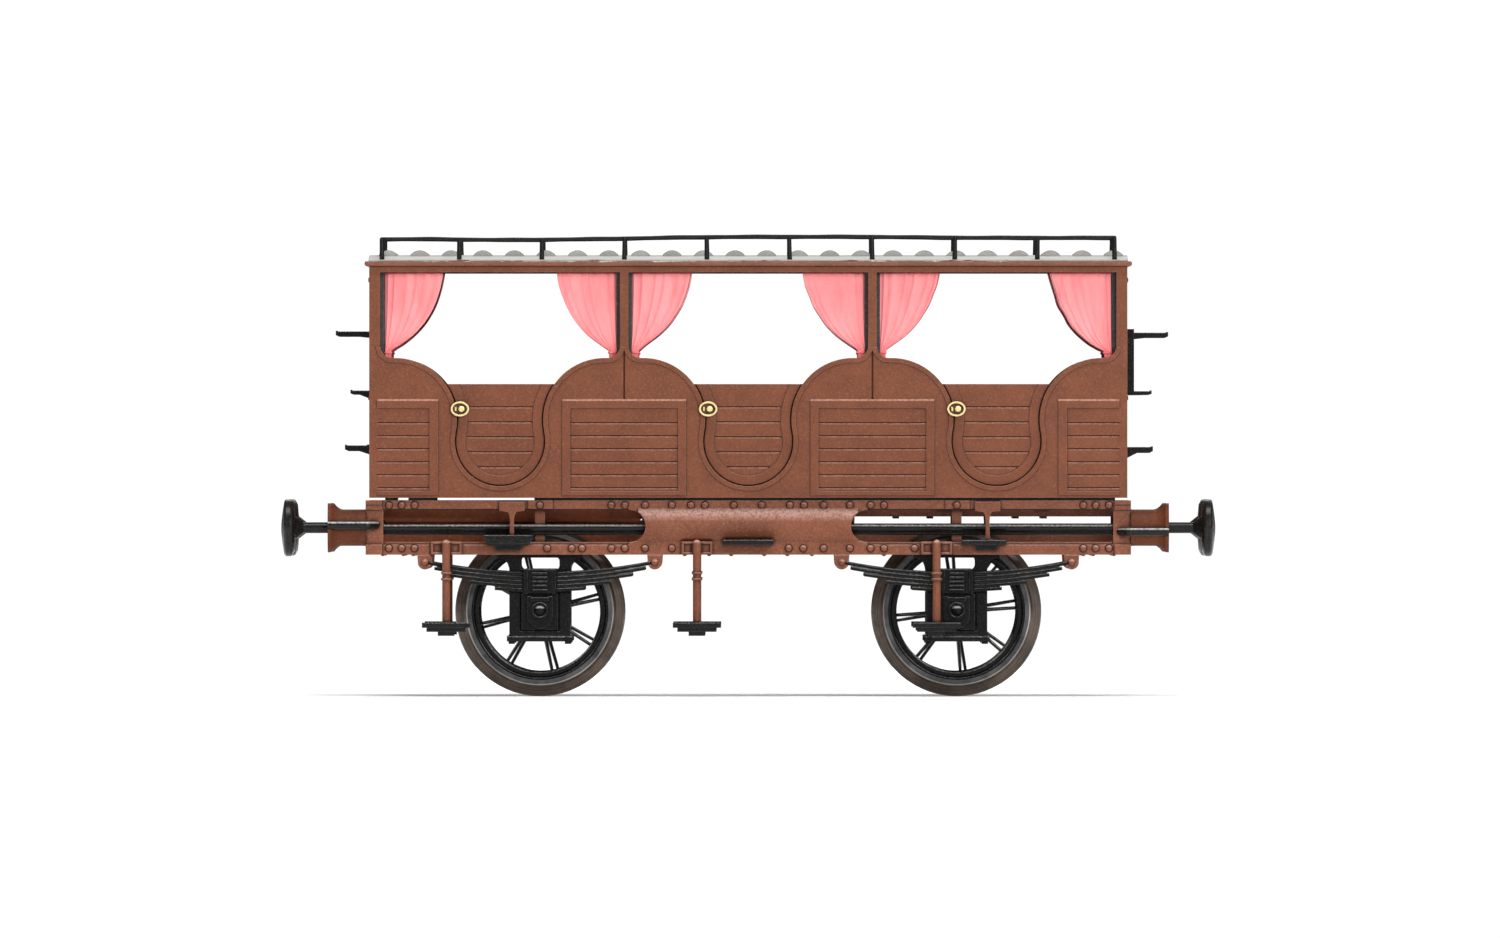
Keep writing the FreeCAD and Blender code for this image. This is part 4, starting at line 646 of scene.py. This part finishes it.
def curtain(name, bay_x, direction, side, seed, edge):
    """Tied-back curtain: pleats hang from a gathered head and run together at the tie."""
    draw = random.Random(seed)
    outer = wall_reach(bay_x, -direction) - 0.03
    pleats = 6 + draw.random()
    phase = draw.uniform(0, TURN)
    skew = [draw.uniform(-0.5, 0.5) for _ in range(4)]
    front, back = [], []
    for r in range(CURTAIN_ROWS):
        t = r / (CURTAIN_ROWS - 1)
        z = CURTAIN_FOOT + (CURTAIN_TOP - CURTAIN_FOOT) * t ** 1.25
        width = outer - spline(edge, z)
        full = min(1.0, width / FULL_WIDTH)
        deep = 0.022 + 0.045 * full ** 0.7
        head = math.exp(-((z - CURTAIN_TOP) / GATHER_H) ** 2)
        for c in range(CURTAIN_COLS):
            u = c / (CURTAIN_COLS - 1)
            # pleats bunch a little unevenly, and more so near the tie
            w = u + 0.05 * math.sin(TURN * u + skew[0]) + 0.03 * math.sin(2 * TURN * u + skew[1])
            wave = math.sin(TURN * pleats * w + phase + 0.5 * skew[2] * (1 - t))
            small = math.sin(TURN * (2 * pleats + 1) * w + 3 * skew[3])
            gather = 0.07 * head * math.sin(TURN * (3 * pleats) * w)
            y = CURTAIN_Y + deep * wave + 0.014 * small * (0.3 + 0.7 * t) + gather
            sag = 0.05 * full * math.sin(math.pi * u) * math.sin(math.pi * t) * skew[2]
            lean = 0.010 * math.sin(TURN * pleats * w + phase + 1.6)
            x = bay_x - direction * (outer - width * (u + lean) + sag)
            rim = min(1.0, min(u, 1 - u) * width / RIM, (1 - t) * RIM_HEIGHT / RIM + 0.3)
            thick = CLOTH_HALF_T * math.sqrt(max(0.0, 1 - (1 - rim) ** 2)) + CLOTH_EDGE_T
            front.append((x, side * (y + thick), z))
            back.append((x, side * (y - thick), z))
    faces = sheet_faces(CURTAIN_ROWS, CURTAIN_COLS)
    if direction * side > 0:
        faces = [f[::-1] for f in faces]
    piece = make(name, front + back, faces, FINISHES["curtain_pink"])
    return piece


TIE_Z = 28.12
TIE_EDGE_Z = 28.2
TIE_HALF_DEPTH = 0.17
TIE_SIDES = 24
# (distance out, height) of the band's five rings
TIE_PROFILE = ((0.0, -0.08), (0.035, -0.045), (0.045, 0.0), (0.035, 0.045), (0.0, 0.08))
TIE_GATHERS = 9


def curtain_tie(name, bay_x, direction, side, edge):
    """Small gathered band where the curtain is tied back, at the height of the sill."""
    outer = wall_reach(bay_x, -direction) - 0.05
    inner = spline(edge, TIE_EDGE_Z)
    middle = (outer + inner) / 2
    half = (outer - inner) / 2 + 0.02
    verts = []
    for out, up in TIE_PROFILE:
        for k in range(TIE_SIDES):
            a = TURN * k / TIE_SIDES
            x, y = math.cos(a), math.sin(a)
            ripple = 1 + 0.05 * math.sin(TIE_GATHERS * math.atan2(y, x))
            verts.append((bay_x - direction * (middle + x * ripple * (half + out)),
                          side * (CURTAIN_Y + y * ripple * (TIE_HALF_DEPTH + out)), TIE_Z + up))
    faces = bar_faces(len(TIE_PROFILE), TIE_SIDES)
    piece = make(name, verts, faces, FINISHES["tie_pink"])


HEM_Y = 11.87
HEM_R = 0.05
HEM_STEPS = 60


def curtain_hem(name, bay_x, direction, side, edge):
    """Thin rolled hem along the curved edge of the cloth, in a darker pink that paints shade along
    that edge.
    """
    path = []
    for k in range(HEM_STEPS):
        height = CURTAIN_TOP - CURTAIN_FOOT - 0.2
        z = CURTAIN_FOOT + 0.1 + height * k / (HEM_STEPS - 1)
        path.append((bay_x - direction * (spline(edge, z) + 0.06), side * HEM_Y, z))
    verts, faces = tube(path, HEM_R, 8)
    piece = make(name, verts, faces, FINISHES["hem_pink"])


for side, place in ((-1, "near"), (1, "far")):
    for k, bay_x in enumerate(BAYS):
        for direction, hand in ((1, "left"), (-1, "right")):
            label = f"{place}_{k + 1}_{hand}"
            seed = 11 + k * 2 + (direction > 0) + (6 if side > 0 else 0)
            edge = list(zip(EDGE_HEIGHTS, INNER_EDGES[(k, hand)]))
            piece = curtain(f"curtain_{label}", bay_x, direction, side, seed, edge)
            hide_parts(f"curtains_{place}")
            curtain_tie(f"curtain_tie_{label}", bay_x, direction, side, edge)
            curtain_hem(f"curtain_hem_{label}", bay_x, direction, side, edge)


# ---------------------------------------------------------------- benches

BENCH_HALF_W = 11.72
SEAT_DEPTH = 5.2
SEAT_Z = 21.5
CUSHION_TOP = 22.6
BACK_TOP = 26.4
BACK_T = 1.1
FLOOR_TOP = 17.0


PAD_ROWS = 27
PAD_ROLL = 0.55
PAD_CHANNELS = 7
BUTTON_ROWS = (0.32, 0.68)
BUTTON_DEPTH = 0.26
BUTTON_SPREAD = 0.09


def rounded(t):
    """Quarter circle from 0 at t = 0 to 1 at t = 1 and beyond."""
    return math.sqrt(max(0.0, 1 - (1 - min(1.0, t)) ** 2))


def pad(name, place, across, deep, thick):
    """Sewn pad with crowned channels and rolled edges. place(u, v, w) maps its box to the coach:
    u runs along the pad's length, v across it, w through its thickness, all in millimetres."""
    cols = 15 * PAD_CHANNELS + 1
    top, under = [], []
    for r in range(PAD_ROWS):
        v = r / (PAD_ROWS - 1)
        for c in range(cols):
            u = c / (cols - 1)
            tuft = abs(math.sin(math.pi * PAD_CHANNELS * u))
            end = min(u, 1 - u) * across
            side = min(v, 1 - v) * deep
            roll = rounded(end / PAD_ROLL) * rounded(side / PAD_ROLL)
            crown = (0.80 + 0.20 * math.sin(math.pi * v)) * (0.72 + 0.28 * tuft ** 0.45)
            button = 0.0
            for centre in BUTTON_ROWS:
                seam = u * PAD_CHANNELS
                du = abs(seam - round(seam)) * across / PAD_CHANNELS
                dv = (v - centre) * deep
                button += BUTTON_DEPTH * math.exp(-(du * du + dv * dv) / BUTTON_SPREAD)
            lift = thick * (0.30 + 0.70 * crown) * roll - button * roll
            top.append(place(u * across, v * deep, max(0.02, lift)))
            under.append(place(u * across, v * deep, 0.0))
    piece = make(name, top + under, sheet_faces(PAD_ROWS, cols), FINISHES["seat_leather"])


BOX_BOARDS = 3
BOARD_H = 1.12
TOE_IN, TOE_H = 0.5, 0.9


def bench_box(name, x0, x1, direction):
    """Boarded seat box with a toe recess and rounded corners."""
    front = x1 if direction > 0 else x0
    wall = x0 if direction > 0 else x1
    toe = front - direction * TOE_IN
    bevel = front - direction * 0.08
    z = FLOOR_TOP + TOE_H
    outline = [(wall, FLOOR_TOP), (toe, FLOOR_TOP), (toe, z)]
    for _ in range(BOX_BOARDS):
        top = z + BOARD_H
        outline += [(bevel, z + 0.03), (front, z + 0.10), (front, top - 0.07), (bevel, top)]
        z = top
    outline += [(front - direction * 0.05, SEAT_Z - 0.08), (front - direction * 0.12, SEAT_Z),
                (wall, SEAT_Z)]
    n = len(outline)
    verts = [(x, y, z) for y in (-BENCH_HALF_W, BENCH_HALF_W) for x, z in outline]
    faces = [(k, (k + 1) % n, n + (k + 1) % n, n + k) for k in range(n)]
    faces += [tuple(range(n))[::-1], tuple(range(n, 2 * n))]
    if direction > 0:
        faces = [f[::-1] for f in faces]
    piece = make(name, verts, faces, FINISHES["floor_brown"], smooth=False)
    return piece


SEAT_BACK = BACK_T * 0.9
BACK_FOOT = CUSHION_TOP - 1.05

for k, bay_x in enumerate(BAYS):
    for direction, hand in ((1, "left"), (-1, "right")):
        label = f"{k + 1}_{hand}"
        wall = bay_x - direction * wall_reach(bay_x, -direction)
        front = wall + direction * SEAT_DEPTH
        bench = bench_box(f"bench_box_{label}", min(wall, front), max(wall, front), direction)
        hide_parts("bench_seats")

        def seat_place(u, v, w, wall=wall, direction=direction):
            return (wall + direction * (SEAT_BACK + v), -BENCH_HALF_W + u, SEAT_Z + w)

        def back_place(u, v, w, wall=wall, direction=direction):
            return (wall + direction * w, -BENCH_HALF_W + u, BACK_FOOT + v)

        pad(f"seat_cushion_{label}", seat_place,
            2 * BENCH_HALF_W, SEAT_DEPTH - SEAT_BACK, CUSHION_TOP - SEAT_Z)
        pad(f"back_cushion_{label}", back_place,
            2 * BENCH_HALF_W, BACK_TOP - CUSHION_TOP + 1.05, BACK_T)


# ---------------------------------------------------------------- luggage rail

RAIL_Y = 12.75
RAIL_END = 29.95
RAIL_OVERRUN = 0.10
RAIL_R = 0.11
RAIL_SIDES = 14
RAIL_HEIGHTS = [(-30.1, 37.46), (-26.0, 37.47), (-20.0, 37.41), (-12.0, 37.49), (-5.0, 37.62),
                (0.0, 37.66), (10.0, 37.66), (16.0, 37.60), (24.0, 37.58), (30.1, 37.58)]
POST_X = (3.38, 10.13, 16.88, 23.63, 29.95)
END_POST_Y = (-6.4, 0.0, 6.4)
ROOF_HALF_W = 13.1
ROOF_RISE = 0.45
ROOF_EDGE = 35.72


def roof_z(y):
    """Height of the arched roof at that distance from the middle."""
    radius = (ROOF_HALF_W ** 2 + ROOF_RISE ** 2) / (2 * ROOF_RISE)
    return ROOF_EDGE + ROOF_RISE - radius + math.sqrt(radius ** 2 - y ** 2)


def rail_height(x, seed):
    """The thin rail bows up towards its middle and dips a little between the posts."""
    return spline(RAIL_HEIGHTS, x) + 0.012 * math.sin(x * 0.93 + seed)


def rail_post(x, y, top, lean):
    """Tapered post from the roof to just over the rail, with a slight lean."""
    z0 = roof_z(y)
    steps = [(z0 - 0.05, 0.21), (z0 + 0.3, 0.205), (z0 + 0.9, 0.19),
             (top - 0.16, 0.18), (top - 0.04, 0.175), (top + 0.07, 0.13)]
    points = [(x + lean * (z - z0) / 2, y, z) for z, _ in steps]
    return tube(points, [r for _, r in steps], RAIL_SIDES)


def rail_side(side, seed):
    """Rail and posts of one long side."""
    draw = random.Random(seed)
    xs = [-RAIL_END + 2 * RAIL_END * k / 120 for k in range(121)]
    ys = [side * (RAIL_Y + 0.025 * math.sin(x * 0.3 + seed)) for x in xs]
    path = [(x, y, rail_height(x, seed)) for x, y in zip(xs, ys)]
    path[0] = (-RAIL_END - RAIL_OVERRUN, path[0][1], path[0][2])
    path[-1] = (RAIL_END + RAIL_OVERRUN, path[-1][1], path[-1][2])
    radii = [0.115 + 0.006 * math.sin(1.9 * x + seed) for x in xs]
    parts = [tube(path, radii, RAIL_SIDES)]
    for x in [-p for p in POST_X] + list(POST_X):
        lean = draw.uniform(-0.04, 0.04)
        parts.append(rail_post(x, side * RAIL_Y, rail_height(x, seed), lean))
    return parts


def rail_across(end, seed):
    """Rail and posts across one end."""
    x = end * RAIL_END
    ys = [-RAIL_Y + 2 * RAIL_Y * k / 60 for k in range(61)]
    path = [(x, y, rail_height(x, seed) + 0.012 * math.sin(y * 0.4 + seed)) for y in ys]
    parts = [tube(path, RAIL_R, RAIL_SIDES)]
    for y in END_POST_Y:
        parts.append(rail_post(x, y, path[0][2], 0.0))
    return parts


for label, parts in (("near", rail_side(-1, 0.6)), ("far", rail_side(1, 2.3)),
                     ("left", rail_across(-1, 0.6)), ("right", rail_across(1, 0.6))):
    verts, faces = joined(parts)
    piece = make(f"luggage_rail_{label}", verts, faces, FINISHES["rail_black"])
    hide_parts("roof_luggage_rail")


# ---------------------------------------------------------------- rivets

FRAME_Y = 12.4
PLATE_T = 0.12
PLATE_HALF_W = 0.5
AXLE_AT = 17.05
UPPER_Z, LOWER_Z = 15.65, 12.12
UPPER_RIVETS = (-29.4, -28.35, -27.3, -17.05, -11.2, -10.1, -8.45, -6.25, -4.7, -3.55, -1.2, 1.1,
                3.4, 4.55, 6.15, 8.3, 10.0, 11.1, 17.05, 27.4, 28.4, 29.5)
LOWER_RIVETS = (-29.4, -28.35, -27.3, -16.45, -14.45, -13.6, -11.2, -10.1, -8.45, -6.25,
                3.3, 4.5, 6.15, 8.3, 10.0, 11.1, 13.6, 27.4, 28.4, 29.5)
RIVET_SIDES = 20
# (radius, distance out from the frame)
HEAD_PROFILE = ((0.17, 0.0), (0.17, 0.04), (0.255, 0.05), (0.27, 0.08), (0.25, 0.14),
                (0.20, 0.185), (0.11, 0.215))
# thin dark ring under each rivet head: a painted shadow round the rivet
SHADOW_RING_PROFILE = ((0.335, -0.01), (0.335, 0.012), (0.30, 0.016), (0.16, 0.016))
RIVET_PARTS = (("head", HEAD_PROFILE, "frame_brown"), ("shadow_ring", SHADOW_RING_PROFILE, "seam_brown"))


def turned(profile, x, y, z, side):
    """Round solid about the Y axis from (radius, distance out) points, closed at both ends."""
    verts = []
    for radius, out in profile:
        for k in range(RIVET_SIDES):
            a = TURN * k / RIVET_SIDES
            verts.append((x + radius * math.cos(a), side * (y + out), z + radius * math.sin(a)))
    faces = bar_faces(len(profile), RIVET_SIDES)
    if side > 0:
        faces = [f[::-1] for f in faces]
    return verts, faces


def rivet_spots():
    """(x, z, y of the surface) of each rivet; a raised plate carries the ones over the axles."""
    for x in UPPER_RIVETS:
        on_plate = abs(abs(x) - AXLE_AT) < PLATE_HALF_W
        yield x, UPPER_Z, FRAME_Y + (PLATE_T if on_plate else 0.0)
    for x in LOWER_RIVETS:
        yield x, LOWER_Z, FRAME_Y


for side, place in ((-1, "near"), (1, "far")):
    for kind, profile, finish in RIVET_PARTS:
        verts, faces = joined([turned(profile, x, y, z, side) for x, z, y in rivet_spots()])
        piece = make(f"rivet_{kind}s_{place}", verts, faces, FINISHES[finish])


# ---------------------------------------------------------------- buffer springs

COIL_WIRE = 0.11
COIL_TURNS = 4
COIL_STEPS = 24
WIRE_SIDES = 12


def coil(first, last, y, z, coil_r):
    """Round wire wound about the X axis from first to last, closed at both ends."""
    count = COIL_TURNS * COIL_STEPS
    pitch = (last - first) / COIL_TURNS
    verts = []
    for k in range(count + 1):
        a = TURN * k / COIL_STEPS
        out = Vector((0, math.cos(a), math.sin(a)))
        along = Vector((pitch / TURN, -coil_r * math.sin(a), coil_r * math.cos(a)))
        across = out.cross(along.normalized())
        centre = Vector((first + (last - first) * k / count, y, z)) + out * coil_r
        for n in range(WIRE_SIDES):
            b = TURN * n / WIRE_SIDES
            verts.append(tuple(centre + (out * math.cos(b) + across * math.sin(b)) * COIL_WIRE))
    return verts, bar_faces(count + 1, WIRE_SIDES)


def buffer_coil(corner):
    """Coil spring of one buffer, wound in the space of its CAD spring, which is hidden."""
    low, high = (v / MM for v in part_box(f"buffer_spring_{corner}"))
    end = -1 if corner.startswith("left") else 1
    inner, outer = (high.x, low.x) if end < 0 else (low.x, high.x)
    y, z = (low.y + high.y) / 2, (low.z + high.z) / 2
    coil_r = (high.y - low.y) / 2 - COIL_WIRE
    verts, faces = coil(inner + end * COIL_WIRE, outer - end * COIL_WIRE, y, z, coil_r)
    piece = make(f"buffer_coil_{corner}", verts, faces, FINISHES["spring_steel"], body=None)
    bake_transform(piece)
    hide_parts(f"buffer_spring_{corner}")


for corner in ("left_near", "left_far", "right_near", "right_far"):
    buffer_coil(corner)


# ---------------------------------------------------------------- studio

# painted shadow on the floor: its glow rises from these distances of the middle, in metres
PAINTED_SHADOW_NEAR, PAINTED_SHADOW_FAR = 0.026, 0.075
PAINTED_SHADOW_DEPTH = 0.6


def floor_finish():
    """Plain pale studio floor that glows by emission, which is painted light, and glows less near
    the object, which paints a soft shadow there.
    """
    f = Finish("studio_floor")
    x = f.axis("X")
    y = f.times(f.axis("Y"), PAINTED_SHADOW_DEPTH)
    away = f.math("SQRT", f.math("ADD", f.times(x, x), f.times(y, y)))
    # painted shadow: the glow is weakest near the coach; the glow itself is painted light
    glow = f.span(away, PAINTED_SHADOW_NEAR, PAINTED_SHADOW_FAR, 0.22, 1.0, smooth=True)
    grain = f.times(f.noise(6.0, 3.0), 0.02)
    colour = f.mix(grain, (0.84, 0.84, 0.84, 1), (0.80, 0.80, 0.80, 1))
    f.close(colour, 0.9, specular=0.0)
    f.shader.inputs["Emission Color"].default_value = (1, 1, 1, 1)
    f.put(f.shader.inputs["Emission Strength"], glow)
    return f.mat


FLOOR_R = 0.45
FLOOR_RINGS = (0.1, 0.25, 0.5, 1.0)
FLOOR_SIDES = 96
FLOOR_GAP = 0.00001


def studio_floor():
    """Round flat floor just under the wheels."""
    verts = [(0, 0, 0)]
    for ring in FLOOR_RINGS:
        for k in range(FLOOR_SIDES):
            a = TURN * k / FLOOR_SIDES
            verts.append((FLOOR_R * ring * math.cos(a), FLOOR_R * ring * math.sin(a), 0))
    faces = [(0, 1 + k, 1 + (k + 1) % FLOOR_SIDES) for k in range(FLOOR_SIDES)]
    for ring in range(len(FLOOR_RINGS) - 1):
        for k in range(FLOOR_SIDES):
            a = 1 + ring * FLOOR_SIDES + k
            b = 1 + ring * FLOOR_SIDES + (k + 1) % FLOOR_SIDES
            faces.append((a, a + FLOOR_SIDES, b + FLOOR_SIDES, b))
    mesh = bpy.data.meshes.new("studio_floor")
    mesh.from_pydata(verts, [], faces)
    floor = bpy.data.objects.new("studio_floor", mesh)
    bpy.context.scene.collection.objects.link(floor)
    mesh.materials.append(floor_finish())
    floor.location.z = CAD_BOX[0].z - FLOOR_GAP


LIGHT_TARGET = (0, 0, 0.02)


def softbox(name, where, size, power):
    """Soft rectangular lamp that looks at the coach and isn't seen itself."""
    light = bpy.data.lights.new(name, "AREA")
    light.shape = "RECTANGLE"
    light.size, light.size_y = size
    light.energy = power
    lamp = bpy.data.objects.new(name, light)
    bpy.context.scene.collection.objects.link(lamp)
    lamp.location = where
    lamp.visible_camera = False
    lamp.rotation_mode = "QUATERNION"
    aim = Vector(LIGHT_TARGET) - Vector(where)
    lamp.rotation_quaternion = aim.to_track_quat("-Z", "Y")


BACKDROP_LIGHT = 1.05
FILL_LIGHT = 0.15


def studio_world():
    """White backdrop behind the coach, and a much weaker white fill light from all round."""
    world = bpy.data.worlds.new("studio")
    bpy.context.scene.world = world
    world.use_nodes = True
    tree = world.node_tree
    tree.nodes.clear()
    mix = tree.nodes.new("ShaderNodeMixShader")
    for socket, strength in ((1, FILL_LIGHT), (2, BACKDROP_LIGHT)):
        back = tree.nodes.new("ShaderNodeBackground")
        back.inputs["Color"].default_value = (1, 1, 1, 1)
        back.inputs["Strength"].default_value = strength
        tree.links.new(back.outputs[0], mix.inputs[socket])
    path = tree.nodes.new("ShaderNodeLightPath")
    out = tree.nodes.new("ShaderNodeOutputWorld")
    tree.links.new(path.outputs["Is Camera Ray"], mix.inputs[0])
    tree.links.new(mix.outputs[0], out.inputs["Surface"])


studio_floor()
studio_world()
softbox("top_softbox", (0.0, -0.22, 0.75), (0.55, 0.35), 5.5)
softbox("front_softbox", (0.35, -1.00, 0.36), (0.35, 0.30), 5.3)
softbox("side_softbox", (0.75, -0.60, 0.40), (0.30, 0.40), 1.2)
softbox("back_softbox", (0.1, 0.90, 0.50), (0.6, 0.4), 1.5)

# long lens, square on to the near side, in metres except for the sensor in mm
CAMERA_AWAY = 3.2
CAMERA_X, CAMERA_Z = 0.00014, 0.01861
NEAR_SIDE_Y = -0.013
VIEW_WIDTH = 0.12265
SENSOR_WIDTH = 36.0
camera_data = bpy.data.cameras.new("camera")
camera_data.sensor_width = SENSOR_WIDTH
camera_data.lens = SENSOR_WIDTH * CAMERA_AWAY / VIEW_WIDTH
camera_data.clip_start = 0.1
camera_data.clip_end = 50.0
camera = bpy.data.objects.new("camera", camera_data)
bpy.context.scene.collection.objects.link(camera)
camera.location = (CAMERA_X, NEAR_SIDE_Y - CAMERA_AWAY, CAMERA_Z)
camera.rotation_euler = (math.pi / 2, 0, 0)
bpy.context.scene.camera = camera
bpy.context.scene.view_settings.view_transform = "Standard"
